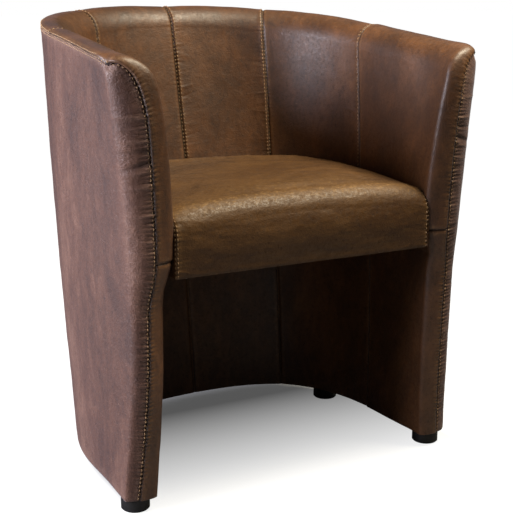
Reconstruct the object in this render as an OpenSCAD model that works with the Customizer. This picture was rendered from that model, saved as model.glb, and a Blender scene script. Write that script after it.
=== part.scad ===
// Tub chair: a U-shaped upholstered shell on four round feet, open under the seat.
// The front is -Y, the floor is z = 0 and the origin is under the middle of the chair.
// The shell is described by one surface: a place p along the U (0 at the middle of the back,
// 3 at the front corner of an arm), a height z and a depth t inward from the outer face.

/* [Overall] */
// Width across the outer corners of the arms at the rim
chair_w = 680; // [620:2:740]
// Depth from the noses of the arms to the top of the back
chair_d = 574; // [520:2:640]
// Height of the rim seam at the middle of the back
back_h = 770; // [720:2:820]
// Height of the rim seam at the front of the arms
arm_h = 704; // [660:2:740]
// Height of the bottom edge of the shell above the floor
shell_z = 22; // [15:1:40]

/* [Shell plan] */
// Height at which the waist widths are measured
waist_z = 400; // [340:5:460]
// Width across the arm corners at the bottom edge
foot_w = 628; // [590:2:660]
// Width across the arm corners at the waist
waist_w = 614; // [590:2:650]
// Width of the shell behind the arms at the bottom edge
hip_foot_w = 617; // [590:2:650]
// Width of the shell behind the arms at the waist
hip_waist_w = 650; // [620:2:680]
// Width of the shell behind the arms at the rim
hip_top_w = 658; // [630:2:690]
// Length of the nearly straight side at the bottom edge
side_foot = 120; // [80:5:160]
// Length of the nearly straight side at the rim
side_top = 229; // [180:1:260]
// How far the back leans outward from the bottom edge to the rim
back_lean = 92; // [60:1:120]
// How far the arm corner stands behind the nose plane at the bottom edge
corner_foot = 41; // [20:1:60]
// How far the arm corner stands behind the nose plane at the waist
corner_waist = 20; // [10:1:35]
// How far the arm corner stands behind the nose plane at the rim
corner_top = 22; // [10:1:35]
// Squareness of the back in plan at the bottom edge, 2 is an ellipse
square_foot = 2.6; // [2:0.05:3.2]
// Squareness of the back in plan at the rim
square_top = 2.25; // [2:0.05:3]

/* [Padding] */
// Thickness of the wall below the seat
foot_pad = 50; // [46:0.5:58]
// Thickness of the back at seat level
back_pad = 77; // [68:1:90]
// Thickness of the arms at seat level
arm_pad = 70; // [66:1:80]
// Thickness of the back just under the rim
back_rim_pad = 52; // [48:1:60]
// Thickness of the arms just under the rim
arm_rim_pad = 60; // [52:1:68]
// Height of the rounded inner edge of the rim at the back
back_round = 32; // [26:1:44]
// Height of the rounded inner edge of the rim at the arms
arm_round = 40; // [30:1:50]
// Distance of the rim's ridge from the outer face
ridge_in = 18; // [14:1:24]
// Height of the rim's ridge above its seam
ridge_h = 6.5; // [4:0.5:10]
// Height of the short seam on the front of each arm
short_z = 405; // [396:1:420]
// How far the nose of the arm stands forward of its corner above the short seam
nose_out = 20; // [12:1:30]
// How far the nose stands forward of its corner below the short seam
nose_low = 9; // [5:1:14]
// Distance of the front seam from the outer face just under the rim
nose_in = 44; // [38:1:50]
// Distance of the front seam from the outer face at the short seam
nose_mid_in = 34; // [28:1:40]
// Distance of the front seam from the outer face below the short seam
nose_low_in = 24; // [20:1:28]
// Swelling of the nose's inner side just under the rim
nose_swell = 14; // [6:1:16]
// Swelling of the nose's inner side at the short seam and below
nose_low_swell = 8; // [4:1:10]
// How far the wall is drawn in at the short seam
tuck = 4; // [2:1:10]
// Height over which the wall is drawn in
tuck_h = 22; // [16:1:28]
// Height over which the front seam turns into the rim seam
nose_round = 90; // [60:5:120]
// Thickness of the cover material
cover_t = 1.5; // [1:0.1:2]
// Thickness of the wadding on the outer face
wadding_t = 6; // [4:0.5:8]

/* [Frame] */
// Thickness of the hardboard panels
board_t = 3; // [2.5:0.1:3.5]
// Thickness of the plywood rails
rail_t = 18; // [15:1:22]
// Depth of the frame between the panels at the rim
frame_top = 20; // [16:1:24]
// Drop from the rim seam to the top of the top rail
rail_drop = 17; // [14:1:24]
// Drop from the seat's underside to the top of the seat rail
seat_rail_drop = 2; // [0:1:10]
// Working clearance between neighbouring pieces
gap = 0.3; // [0.2:0.05:0.5]

/* [Seat] */
// Width of the seat
seat_w = 472; // [456:2:474]
// Height of the seat's underside
seat_z = 377; // [360:1:384]
// Height of the seat's top edge
seat_h = 483; // [470:1:500]
// Rise of the seat's crown above its edge
seat_crown = 9; // [4:1:16]
// How far the seat's front stands behind the nose plane
seat_set = 12; // [8:1:24]
// Radius of the roll at the seat's front edge
seat_roll = 38; // [28:1:46]
// Thickness of the plywood seat frame
seat_frame_t = 22; // [18:1:25]
// Width of the seat frame's border
seat_frame_w = 46; // [40:1:60]
// Diameter of the spring wire
wire_d = 3.6; // [3:0.1:4]
// Width of a zigzag spring
spring_w = 52; // [44:1:60]
// Distance between neighbouring bars of a spring
spring_pitch = 34; // [30:1:40]
// Thickness of the felt on the springs
felt_t = 4; // [3:0.5:6]
// Width and height of the battens under the seat
batten = 24; // [20:1:28]

/* [Feet] */
// Diameter of a foot
foot_d = 46; // [40:1:48]
// Diameter of the screw in a foot
screw_d = 5; // [4:0.5:6]
// Length of the screw in a foot
screw_len = 30; // [26:1:34]

/* [Hidden] */
// Angles in plan of the two seams beside the middle one
seam_a = [54, 5];
// Share of the arm panel that still belongs to the curved back
bend_share = 0.13;
// Power of the curve by which the side reaches its corner
flare_power = 1.6;
// Powers of the round nose of an arm, outer and inner half
nose_powers = [2, 3];
// Powers of the corner where the front seam becomes the rim seam, across and forward
turn_powers = [3.2, 1.7];
// How far behind its corner the round nose begins, outer and inner side
nose_start = [8, 30];
// Small step along the U for tangents
dp = 0.01;
// Cut overrun
over = 1;
NOSE_END = 3;

leather = "#6b4a33";
lining_black = "#1c1a19";
foam_colour = "#e8dfb8";
wood_colour = "#c9a26b";
ply_colour = "#b98d57";
board_colour = "#7a5a3a";
steel_colour = "#9a9da0";
felt_colour = "#55504a";

board_out = cover_t + gap + wadding_t + gap;
frame_out = board_out + board_t + gap;
frame_foot = foot_pad - cover_t - gap - board_t - gap - frame_out;

function mix(a, b, s) = a + (b - a) * s;
function clamp(v, lo, hi) = max(lo, min(hi, v));
function sgn(v) = v < 0 ? -1 : 1;

// A value that passes through a at the bottom edge, b at the waist and c at the arm's rim
function by_height(a, b, c, z) =
    a * (z - waist_z) * (z - arm_h) / ((shell_z - waist_z) * (shell_z - arm_h))
    + b * (z - shell_z) * (z - arm_h) / ((waist_z - shell_z) * (waist_z - arm_h))
    + c * (z - shell_z) * (z - waist_z) / ((arm_h - shell_z) * (arm_h - waist_z));

function rise(z) = (z - shell_z) / (back_h - shell_z);
function corner_y(z) = -chair_d / 2 + by_height(corner_foot, corner_waist, corner_top, z);
function side_run(z) = mix(side_foot, side_top, rise(z));

// Point of the outer face in plan
function plan_point(p, z) =
    let (a = abs(p),
         th = a <= 1 ? mix(90, seam_a[0], a)
            : a <= 2 ? mix(seam_a[0], seam_a[1], a - 1)
            : seam_a[1] * (1 - min(1, (a - 2) / bend_share)),
         s = a <= 2 + bend_share ? 0 : (a - 2 - bend_share) / (1 - bend_share),
         e = 2 / mix(square_foot, square_top, rise(z)),
         hip = by_height(hip_foot_w, hip_waist_w, hip_top_w, z) / 2,
         corner = by_height(foot_w, waist_w, chair_w, z) / 2,
         y_hip = corner_y(z) + side_run(z),
         y_back = chair_d / 2 - back_lean * (1 - rise(z)))
    [sgn(p) * (hip * pow(cos(th), e) + (corner - hip) * pow(s, flare_power)),
     mix(y_hip, y_back, pow(sin(th), e)) - side_run(z) * s];

// Point at depth t inward from the outer face
function wall(p, z, t) =
    let (a = plan_point(p - dp, z),
         b = plan_point(p + dp, z),
         d = b - a,
         c = plan_point(p, z),
         n = [d[1], -d[0]] / norm(d))
    [c[0] + t * n[0], c[1] + t * n[1], z];

// The rim seam lies in one sloping plane
function rim_plane(y) =
    mix(arm_h, back_h, (y - corner_y(arm_h)) / (chair_d / 2 - corner_y(arm_h)));
function settle(p, z, n) = n == 0 ? z : settle(p, rim_plane(plan_point(p, z)[1]), n - 1);
function rim_z(p) = settle(min(abs(p), ahead(-nose_start[1], arm_h)), arm_h, 4);

// Place along the U that lies f in front of the arm's corner
function ahead(f, z) = NOSE_END + (1 - bend_share) * f / side_run(z);

// 0 at the middle of the back, 1 at the arms
function arm_share(p) = min(1, abs(p) / 2);
function round_h(p) = mix(back_round, arm_round, arm_share(p));
function rim_pad(p) = mix(back_rim_pad, arm_rim_pad, arm_share(p));
function seat_pad(p) = mix(back_pad, arm_pad, arm_share(p));

// Thickness of the padded wall at a height, drawn in at the short seam
function low_wall(p, z) =
    mix(foot_pad, seat_pad(p) - tuck, clamp((z - short_z + 2 * tuck_h) / (2 * tuck_h), 0, 1));
function wall_t(p, z) =
    let (top = rim_z(p) - round_h(p))
    z < short_z ? low_wall(p, z)
    : z < short_z + tuck_h ? seat_pad(p) - tuck * pow(1 - (z - short_z) / tuck_h, 2)
    : z < seat_h ? seat_pad(p)
    : mix(seat_pad(p), rim_pad(p), min(1, (z - seat_h) / (top - seat_h)));

// Front seam of the arm: its depth from the outer face and its forward reach. Both swing out
// below the short seam, and above it the depth grows on to the turn.
seam_bend = short_z + tuck_h / 2;
turn_z = arm_h - nose_round;
function low_share(z) = clamp((z - shell_z) / (levels[1] - shell_z), 0, 1);
function high_share(z) = clamp((z - seam_bend) / (turn_z - seam_bend), 0, 1);
function seam_blend(z) = (1 - cos(180 * clamp((z - levels[2]) / (seam_bend - levels[2]), 0, 1))) / 2;
function seam_in(z) =
    mix(mix(nose_low_in, nose_mid_in, seam_blend(z)), nose_in, high_share(z));
function seam_reach(z) = mix(nose_low * low_share(z), nose_out, seam_blend(z));

// Swelling of the nose beyond the padded wall, which dies out over the rim
function swell(t, z) = mix(nose_low_swell, nose_swell, high_share(z)) * min(1, t / foot_pad);

// Two grids of points, face and back of a sheet, joined round their edges. Where the sheet
// spans both halves of the chair, the facets of its left half mirror those of its right half.
module sheet(front, back, both = false) {
    rows = len(front);
    cols = len(front[0]);
    n = rows * cols;
    points = concat([for (r = front) for (q = r) q], [for (r = back) for (q = r) q]);
    faces = concat(
        [for (i = [0:rows - 2]) for (j = [0:cols - 2])
            let (a = i * cols + j, b = a + cols) each both && j < (cols - 1) / 2
                ? [[a, a + 1, b], [a + 1, b + 1, b],
                    [n + a, n + b, n + a + 1], [n + a + 1, n + b, n + b + 1]]
                : [[a, a + 1, b + 1], [a, b + 1, b],
                    [n + a, n + b + 1, n + a + 1], [n + a, n + b, n + b + 1]]],
        [for (j = [0:cols - 2]) let (a = j, b = (rows - 1) * cols + j)
            each [[a, n + a, n + a + 1], [a, n + a + 1, a + 1],
                [b, n + b + 1, n + b], [b, b + 1, n + b + 1]]],
        [for (i = [0:rows - 2]) let (a = i * cols, b = i * cols + cols - 1)
            each [[a, n + a + cols, n + a], [a, a + cols, n + a + cols],
                [b, n + b, n + b + cols], [b, n + b + cols, b + cols]]]);
    polyhedron(points, faces, convexity = 6);
}

function span(a, b, n) = [for (i = [0:n]) mix(a, b, i / n)];

// Columns along the U, shared by every layer so that their flat facets lie parallel.
// Column 3 or -3 is the end of the inner layers, just behind the arm's round nose unless
// another set-back from the arm's corner is given.
cell = 0.2;
last_cell = 2.6;
seam_gap = gap / side_top;
function cells(a, b) = [for (i = [0:round((b - a) / cell)]) a + i * cell];
whole = concat([-NOSE_END], cells(-last_cell, last_cell), [NOSE_END]);
function column(c, z, set = nose_start[1]) = abs(c) < NOSE_END ? c : sgn(c) * ahead(-set, z);

// A row above zero is a height, and any other row is measured down from the rim seam
level_shares = [0.3, 0.545, 0.79, 1, 1.235];
levels = [for (s = level_shares) s * short_z];
function row_z(r, c) = r > 0 ? r : rim_z(c) + r;
function grid(cs, rs, depth) =
    [for (r = rs) [for (c = cs) let (z = row_z(r, c)) wall(column(c, z), z, depth(c, z))]];
function flat(t) = function(c, z) t;

strip_t = 1;
base_z = shell_z + strip_t + gap;
base_top = base_z + rail_t;
seat_rail_top = seat_z - seat_rail_drop;
rail_under = -rail_drop - rail_t - gap;
function frame_in(c, z) = frame_out
    + mix(frame_foot, frame_top, clamp((z - seat_z) / (rim_z(c) - rail_drop - seat_z), 0, 1));
function inner_board_in(c, z) = frame_in(c, z) + gap + board_t;
tall_rows = concat([base_z], levels, [-nose_round, -rail_drop]);
upper_rows = [short_z, levels[4], -nose_round, -rail_drop];
lower_rows = [base_z, levels[0], levels[1], levels[2], short_z - gap];

// Nose of the arm at a row: depth, forward reach and height of the front seam
function nose_point(r, e, g) =
    let (s = r > 0 ? 0 : clamp((r + nose_round) / nose_round, 0, 1),
         z = r > 0 ? r : arm_h + r + min(g, 0),
         across = pow(1 - pow(s, turn_powers[0]), 1 / turn_powers[0]),
         forward = pow(1 - pow(s, turn_powers[1]), 1 / turn_powers[1]))
    [e + seam_in(z) * across * (1 - e / nose_in) + g * across, seam_reach(z) * forward - e, z];

// Points of a quarter round from the side of the arm to its front seam
function cap_point(side, nose, k, power, fat = 0) =
    let (c = pow(cos(90 * k), 2 / power), s = pow(sin(90 * k), 2 / power),
         t = mix(nose[0], side[0], c) + fat * pow(sin(180 * k), 2),
         f = mix(side[1], nose[1], s), z = mix(nose[2], side[2], c))
    wall(ahead(f, z), z, t);
cap_steps = 6;
function cap(side, nose, power, fat = 0) =
    [for (i = [0:cap_steps]) cap_point(side, nose, i / cap_steps, power, fat)];
function mirrored(points) =
    [for (i = [len(points) - 1:-1:0]) [-points[i][0], points[i][1], points[i][2]]];

// Outer cover: both outer faces of the arms and the back, up to the front seams and the rim seam
turn_shares = [0, 0.4, 0.7, 0.9, 1];
tuck_shares = [2, 1.5, 1, 0.5];
turn_rows = [for (k = turn_shares) -nose_round * (1 - k)];
tuck_rows = [for (k = tuck_shares) short_z - k * tuck_h];
cover_rows = concat([shell_z], [for (i = [0:2]) levels[i]], tuck_rows,
    [short_z, seam_bend, levels[4]], turn_rows);
function outer_row(r, e) =
    let (z = r > 0 ? r : rim_plane(corner_y(arm_h) + nose_start[0]) + r - gap,
         end = cap([e, -nose_start[0], z], nose_point(r, e, -2 * gap), nose_powers[0]))
    concat(mirrored(end),
        [for (c = cells(-last_cell, last_cell)) wall(c, row_z(r, c) - (r > 0 ? 0 : gap), e)], end);
module outer_cover() {
    color(leather)
        sheet([for (r = cover_rows) outer_row(r, 0)],
            [for (r = cover_rows) outer_row(r, cover_t)], true);
}

// Upper inner covers: from the short seam up the padded face, over the ridge to the rim seam
function crown_base(c) = rim_z(c) - round_h(c);
low_heights = [short_z, short_z + tuck_h / 2, short_z + tuck_h, seat_h];
crown_in = 4;
crown_out = 3;
upper_count = len(low_heights) + 2 + crown_in + crown_out;
function inner_side(i, c, e) =
    let (n = len(low_heights), base = crown_base(c))
    i < n ? [wall_t(c, low_heights[i]) - e, low_heights[i]]
    : i < n + 2 ? let (z = mix(seat_h, base, (i - n + 1) / 2)) [wall_t(c, z) - e, z]
    : crown(c, e, (i - n - 1) / crown_in, (i - n - 1 - crown_in) / crown_out);
function crown(c, e, up, down) = down <= 0
    ? [ridge_in + (rim_pad(c) - e - ridge_in) * cos(90 * up),
       crown_base(c) + (round_h(c) + ridge_h - e) * sin(90 * up)]
    : [ridge_in - (ridge_in - e) * sin(90 * down), rim_z(c) + (ridge_h - e) * cos(90 * down)];
// Point of the front seam for a row: the rows of the turn lie on the outer cover's rows or midway
function seam_point(i, e) =
    let (n = len(low_heights), k = (i - n) / 2)
    i < n - 1 ? nose_point(low_heights[i], e, 0)
    : i < n ? nose_point(levels[4], e, 0)
    : (nose_point(turn_rows[floor(k)], e, 0) + nose_point(turn_rows[ceil(k)], e, 0)) / 2;
function side_points(cs, i, e) =
    [for (c = cs) let (q = inner_side(i, c, e)) wall(column(c, q[1]), q[1], q[0])];
function arm_row(i, e) =
    let (q = inner_side(i, NOSE_END, e))
    concat(side_points(concat([2 + seam_gap], cells(2 + cell, last_cell)), i, e),
        cap([q[0], -nose_start[1], q[1]], seam_point(i, e), nose_powers[1], swell(q[0], q[1])));
function panel_cells(a) = concat([a + seam_gap], cells(a + cell, a + 1 - cell), [a + 1 - seam_gap]);
module upper_panel(a) {
    cs = panel_cells(a);
    color(leather)
        sheet([for (i = [0:upper_count - 1]) side_points(cs, i, cover_t)],
            [for (i = [0:upper_count - 1]) side_points(cs, i, 0)]);
}
module upper_arm() {
    color(leather)
        sheet([for (i = [0:upper_count - 1]) arm_row(i, cover_t)],
            [for (i = [0:upper_count - 1]) arm_row(i, 0)]);
}
module back_cover_right() { upper_panel(0); }
module back_cover_left() { mirror([1, 0, 0]) upper_panel(0); }
module shoulder_cover_right() { upper_panel(1); }
module shoulder_cover_left() { mirror([1, 0, 0]) upper_panel(1); }
module arm_cover_right() { upper_arm(); }
module arm_cover_left() { mirror([1, 0, 0]) upper_arm(); }

// Lower inner covers: below the short seam and down to the floor edge
lining_rows = concat([shell_z], [for (i = [0:2]) levels[i]], tuck_rows, [short_z - gap]);
function lining_depth(e) = function(c, z) wall_t(c, z) - e;
module lower_panel(a) {
    cs = panel_cells(a);
    color(leather)
        sheet(grid(cs, lining_rows, lining_depth(cover_t)), grid(cs, lining_rows, lining_depth(0)));
}
function lower_arm_row(z, e) =
    let (t = wall_t(NOSE_END, z) - e)
    concat([for (c = concat([2 + seam_gap], cells(2 + cell, last_cell))) wall(c, z, wall_t(c, z) - e)],
        cap([t, -nose_start[1], z], nose_point(z, e, 0), nose_powers[1], swell(t, z)));
module lower_arm() {
    color(leather)
        sheet([for (z = lining_rows) lower_arm_row(z, cover_t)],
            [for (z = lining_rows) lower_arm_row(z, 0)]);
}
module back_lining_right() { lower_panel(0); }
module back_lining_left() { mirror([1, 0, 0]) lower_panel(0); }
module shoulder_lining_right() { lower_panel(1); }
module shoulder_lining_left() { mirror([1, 0, 0]) lower_panel(1); }
module arm_lining_right() { lower_arm(); }
module arm_lining_left() { mirror([1, 0, 0]) lower_arm(); }

// Padding of the shell
pad_e = cover_t + gap;
pad_ease = 1.2;
module outer_wadding() {
    color(foam_colour) sheet(grid(whole, tall_rows, flat(pad_e + pad_ease)),
        grid(whole, tall_rows, flat(pad_e + wadding_t)), true);
}
foam_rows = [short_z, short_z + tuck_h, levels[4], -nose_round, -rail_drop];
module inner_foam() {
    face = function(c, z) wall_t(c, z) - pad_e - pad_ease - (z > crown_base(c) ? crown_cut(c, z) : 0);
    seat = function(c, z) inner_board_in(c, z) + gap;
    color(foam_colour) sheet(grid(whole, foam_rows, seat), grid(whole, foam_rows, face), true);
}
// How much thinner the rounded rim is than the wall below it, at a height
function crown_cut(c, z) =
    let (s = (z - crown_base(c)) / (round_h(c) + ridge_h - pad_e))
    (rim_pad(c) - pad_e - ridge_in) * (1 - sqrt(1 - s * s));

pad_lip = 4;
rim_steps = 7;
function rim_row(k, e) =
    [for (c = whole)
        let (start = asin((round_h(c) - rail_drop + gap + pad_lip) / (round_h(c) + ridge_h - e)) / 90,
             up = k <= rim_steps - crown_out ? mix(start, 1, k / (rim_steps - crown_out)) : 1,
             q = crown(c, e, up, (k - rim_steps + crown_out) / crown_out))
        wall(column(c, q[1]), q[1], q[0])];
function rim_floor(k, e) =
    [for (c = whole)
        let (z = rim_z(c) - rail_drop + gap, t = rim_pad(c) - e - crown_cut(c, z))
        wall(column(c, z), z, mix(t, e, k / rim_steps))];
module rim_padding() {
    color(foam_colour)
        sheet([for (k = [0:rim_steps]) rim_floor(k, pad_e + pad_ease)],
            [for (k = [0:rim_steps]) rim_row(k, pad_e + pad_ease)], true);
}

// Foam in the nose of an arm, in front of the frame
nose_foam_rows = concat([base_top + gap], [for (i = [0:2]) levels[i]], tuck_rows,
    [short_z, seam_bend, levels[4]], [for (i = [0:2]) turn_rows[i]], [-rail_drop]);
nose_ease = 2;
outer_shares = [0, 0.35, 0.7];
inner_shares = [1, 0.75, 0.5, 0.25];
function nose_foam_row(r) =
    let (e = pad_e + nose_ease, z = row_z(r, NOSE_END), b = -nose_start[1] + nose_ease,
         round = z > crown_base(NOSE_END), cut = round ? crown_cut(NOSE_END, z) : 0,
         t = wall_t(NOSE_END, z) - e - cut, fat = round ? 0 : swell(t, z),
         nose = nose_point(r, e, 0), n = len(outer_shares) + len(inner_shares) - 1,
         out = [for (k = outer_shares) cap_point([e, -nose_start[0], z], nose, k, nose_powers[0])],
         in = [for (k = inner_shares) cap_point([t, b, z], nose, k, nose_powers[1], fat)])
    [concat(out, in), [for (i = [0:n]) wall(ahead(b, z), z, mix(e, t, i / n))]];
module nose_foam() {
    rows = [for (r = nose_foam_rows) nose_foam_row(r)];
    color(foam_colour) sheet([for (r = rows) r[0]], [for (r = rows) r[1]]);
}
module arm_foam_right() { nose_foam(); }
module arm_foam_left() { mirror([1, 0, 0]) nose_foam(); }

// Hardboard panels
module outer_board() {
    color(board_colour)
        sheet(grid(whole, tall_rows, flat(board_out)),
            grid(whole, tall_rows, flat(board_out + board_t)), true);
}
module inner_board() {
    near = function(c, z) frame_in(c, z) + gap;
    far = function(c, z) inner_board_in(c, z);
    color(board_colour) sheet(grid(whole, upper_rows, near), grid(whole, upper_rows, far), true);
}
module lower_board() {
    near = function(c, z) frame_out + frame_foot + gap;
    far = function(c, z) frame_out + frame_foot + gap + board_t;
    color(board_colour) sheet(grid(whole, lower_rows, near), grid(whole, lower_rows, far), true);
}

// Plywood rails: flat boards sawn to the U
rail_ease = 0.7;
rail_end = 16;
// The innermost or outermost place that a depth reaches between two heights
function reach(c, z0, z1, t, set, side) =
    let (a = wall(column(c, z0, set), z0, t),
         b = wall(column(c, z1, set), z1, t),
         inward = wall(column(c, z0, set), z0, t + rail_ease) - a)
    side * ((b - a) * inward) > 0 ? b : a;
function plan_of(points) = [for (q = points) [q[0], q[1]]];
function u_plan(z0, z1, t0, t1, set) = plan_of(concat(
    [for (c = whole) reach(c, z0, z1, t1 - rail_ease, set, -1)],
    [for (i = [len(whole) - 1:-1:0]) reach(whole[i], z0, z1, t0 + rail_ease, set, 1)]));
module u_rail(z0, t0, t1, set) {
    translate([0, 0, z0]) linear_extrude(rail_t) polygon(u_plan(z0, z0 + rail_t, t0, t1, set));
}
module base_rail() {
    color(ply_colour) difference() {
        u_rail(base_z, frame_out, frame_out + frame_foot, rail_end);
        foot_screw_places(base_z - over) cylinder(h = rail_t + 2 * over, d = screw_d + gap, $fn = 32);
    }
}
module seat_rail() {
    color(ply_colour)
        u_rail(seat_rail_top - rail_t, frame_out, frame_out + frame_foot, nose_start[1]);
}
frame_near = flat(frame_out + rail_ease / 2);
frame_far = function(c, z) frame_in(c, z) - rail_ease;
module top_rail() {
    rows = [-rail_drop - rail_t, -rail_drop];
    color(wood_colour) sheet(grid(whole, rows, frame_near), grid(whole, rows, frame_far), true);
}

// Posts between the rails
module post(cs, rs) { color(wood_colour) sheet(grid(cs, rs, frame_near), grid(cs, rs, frame_far)); }
post_low = [base_top + gap, levels[0], levels[1], levels[2], seat_rail_top - rail_t - gap];
post_high = [seat_rail_top + gap, short_z, levels[4], -nose_round, rail_under];
back_post = [0.4, 0.6];
side_post = [1.4, 1.6];
front_post = [last_cell, NOSE_END];
module lower_back_post_right() { post(back_post, post_low); }
module lower_back_post_left() { mirror([1, 0, 0]) post(back_post, post_low); }
module lower_side_post_right() { post(side_post, post_low); }
module lower_side_post_left() { mirror([1, 0, 0]) post(side_post, post_low); }
module lower_front_post_right() { post(front_post, post_low); }
module lower_front_post_left() { mirror([1, 0, 0]) post(front_post, post_low); }
module upper_back_post_right() { post(back_post, post_high); }
module upper_back_post_left() { mirror([1, 0, 0]) post(back_post, post_high); }
module upper_side_post_right() { post(side_post, post_high); }
module upper_side_post_left() { mirror([1, 0, 0]) post(side_post, post_high); }
module upper_front_post_right() { post(front_post, post_high); }
module upper_front_post_left() { mirror([1, 0, 0]) post(front_post, post_high); }

// Dust cloth under the wall
module bottom_strip() {
    color(lining_black) difference() {
        translate([0, 0, shell_z]) linear_extrude(strip_t)
            polygon(u_plan(shell_z, base_z, cover_t + gap, foot_pad - cover_t - gap, nose_start[1]));
        foot_screw_places(shell_z - over) cylinder(h = strip_t + 2 * over, d = screw_d + gap, $fn = 32);
    }
}

// Feet and their screws
rear_foot_p = 1.46;
front_foot_set = 26;
foot_chamfer = 2;
head_d = 2 * screw_d;
head_h = screw_d / 2;
recess = 8;
function foot_plan(front) =
    let (q = front ? wall(ahead(-front_foot_set, shell_z), shell_z, foot_pad / 2 + gap)
                   : wall(rear_foot_p, shell_z, foot_pad / 2 + gap)) [q[0], q[1]];
module foot_screw_places(z) {
    for (front = [true, false]) for (s = [-1, 1])
        let (q = foot_plan(front)) translate([s * q[0], q[1], z]) children();
}
module foot() {
    foot_h = shell_z - gap;
    color(lining_black) rotate_extrude($fn = 64) polygon([
        [screw_d / 2 + gap, recess + head_h], [head_d / 2 + gap, recess], [head_d / 2 + gap, 0],
        [foot_d / 2 - foot_chamfer, 0], [foot_d / 2, foot_chamfer], [foot_d / 2, foot_h],
        [screw_d / 2 + gap, foot_h]]);
}
module foot_at(front, s) { q = foot_plan(front); translate([s * q[0], q[1], 0]) foot(); }
module foot_front_right() { foot_at(true, 1); }
module foot_front_left() { foot_at(true, -1); }
module foot_back_right() { foot_at(false, 1); }
module foot_back_left() { foot_at(false, -1); }
module foot_screws() {
    color(steel_colour) foot_screw_places(recess + gap) rotate_extrude($fn = 32) polygon([
        [0, 0], [head_d / 2, 0], [screw_d / 2, head_h], [screw_d / 2, screw_len - head_h], [0, screw_len]]);
}

// Outline of the seat, inset by e from the clearance to the arms and the back
seat_clear = 1.5;
seat_front = -chair_d / 2 + seat_set;
seat_p = 2.2;
function seat_rear(c, z, e) = wall(c, z, seat_pad(c) + seat_clear + e);
function seat_half(e) = seat_w / 2 - e;
rear_cells = cells(-seat_p, seat_p);
function seat_outline(e, z) = concat(
    [[-seat_half(e), seat_front + e], [seat_half(e), seat_front + e]],
    [[seat_half(e), seat_front + seat_roll]],
    plan_of([for (i = [len(rear_cells) - 1:-1:0]) seat_rear(rear_cells[i], z, e)]),
    [[-seat_half(e), seat_front + seat_roll]]);
seat_low = short_z + tuck_h;
module seat_plate(e, z, t) {
    translate([0, 0, z]) linear_extrude(t) polygon(seat_outline(e, seat_low));
}

// Top panel of the seat: up the front, over the roll and back to the rear edge
edge_drop = 8;
crown_power = 2.4;
edge_power = 10;
function seat_top_z(u, e) =
    seat_h - e + seat_crown * (1 - pow(abs(u), crown_power)) - edge_drop * pow(abs(u), edge_power);
roll_steps = 4;
front_steps = 2;
top_steps = 4;
roll_rows = [for (i = [0:roll_steps]) 90 * i / roll_steps];
function seat_point(k, j, e, z0) =
    let (n = len(rear_cells) - 1, u = 2 * j / n - 1, x = u * seat_half(e), c = rear_cells[j],
         end = seat_rear(c, seat_low, e), top = seat_top_z(u, e), r = seat_roll - e,
         y0 = seat_front + seat_roll, low = max(z0, seat_z))
    k < front_steps ? [x, seat_front + e, mix(low, top - r, k / front_steps)]
    : k <= roll_last ? let (a = roll_rows[k - front_steps]) [x, y0 - r * cos(a), top - r + r * sin(a)]
    : let (s = (k - roll_last) / top_steps) [mix(x, end[0], s), mix(y0, end[1], s), top];
roll_last = front_steps + roll_steps;
seat_rows = roll_last + top_steps + 1;
function seat_grid(e, z0) =
    [for (k = [0:seat_rows - 1]) [for (j = [0:len(rear_cells) - 1]) seat_point(k, j, e, z0)]];
module seat_cover() { color(leather) sheet(seat_grid(cover_t, seat_z), seat_grid(0, seat_z), true); }

// Side borders of the seat, from a front corner round to the middle of the rear
function border_row(k, e) = concat(
    [for (a = roll_rows)
        let (y = seat_front + seat_roll - (seat_roll - e) * cos(a),
             top = seat_h - edge_drop - seat_roll + seat_roll * sin(a) - cover_t - gap)
        [seat_half(e), y, mix(seat_z, top, k / border_steps)]],
    [for (i = [len(rear_cells) - 1:-1:(len(rear_cells) - 1) / 2])
        let (c = rear_cells[i], q = seat_rear(i == (len(rear_cells) - 1) / 2 ? seam_gap : c, seat_low, e))
        [q[0], q[1], mix(seat_z, seat_h - edge_drop - cover_t - gap, k / border_steps)]]);
border_steps = 2;
module seat_border() {
    color(leather) sheet([for (k = [0:border_steps]) border_row(k, cover_t)],
        [for (k = [0:border_steps]) border_row(k, 0)]);
}
module seat_border_right() { seat_border(); }
module seat_border_left() { mirror([1, 0, 0]) seat_border(); }

// Inside of the seat
cloth_t = 1;
frame_z = seat_z + cloth_t + 2 * gap;
clip_z = frame_z + seat_frame_t + gap;
spring_z = clip_z + wire_d / 2;
clip_t = 1.2;
clip_w = 10;
clip_tab = 10;
felt_z = clip_z + wire_d + gap + clip_t + gap;
foam_z = felt_z + felt_t + gap;
seat_e = cover_t + gap;
module seat_dust_cloth() {
    color(lining_black) difference() {
        seat_plate(seat_e, seat_z + gap, cloth_t);
        seat_screw_places(seat_z - over) cylinder(h = cloth_t + 2 * over, d = screw_d + gap, $fn = 32);
    }
}
module seat_frame() {
    color(ply_colour) difference() {
        seat_plate(2 * seat_e, frame_z, seat_frame_t);
        seat_plate(2 * seat_e + seat_frame_w, frame_z - over, seat_frame_t + 2 * over);
        seat_screw_places(frame_z - over) cylinder(h = screw_len, d = screw_d + gap, $fn = 32);
    }
}
module seat_felt() { color(felt_colour) seat_plate(2 * seat_e, felt_z, felt_t); }
module seat_foam() {
    n = len(rear_cells) - 1;
    y1 = seat_front + seat_roll;
    top = [for (k = [0:seat_rows - 1]) [for (j = [0:n])
        let (q = seat_point(k, j, seat_e, foam_z)) k == 0 ? [q[0], q[1], foam_z + pad_lip] : q]];
    floor = [for (k = [0:seat_rows - 1]) [for (j = [0:n])
        let (q = seat_point(k, j, seat_e, foam_z))
        [q[0], k <= roll_last ? mix(seat_front + seat_e + pad_lip, y1, k / roll_last) : q[1], foam_z]]];
    color(foam_colour) sheet(floor, top, true);
}

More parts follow.
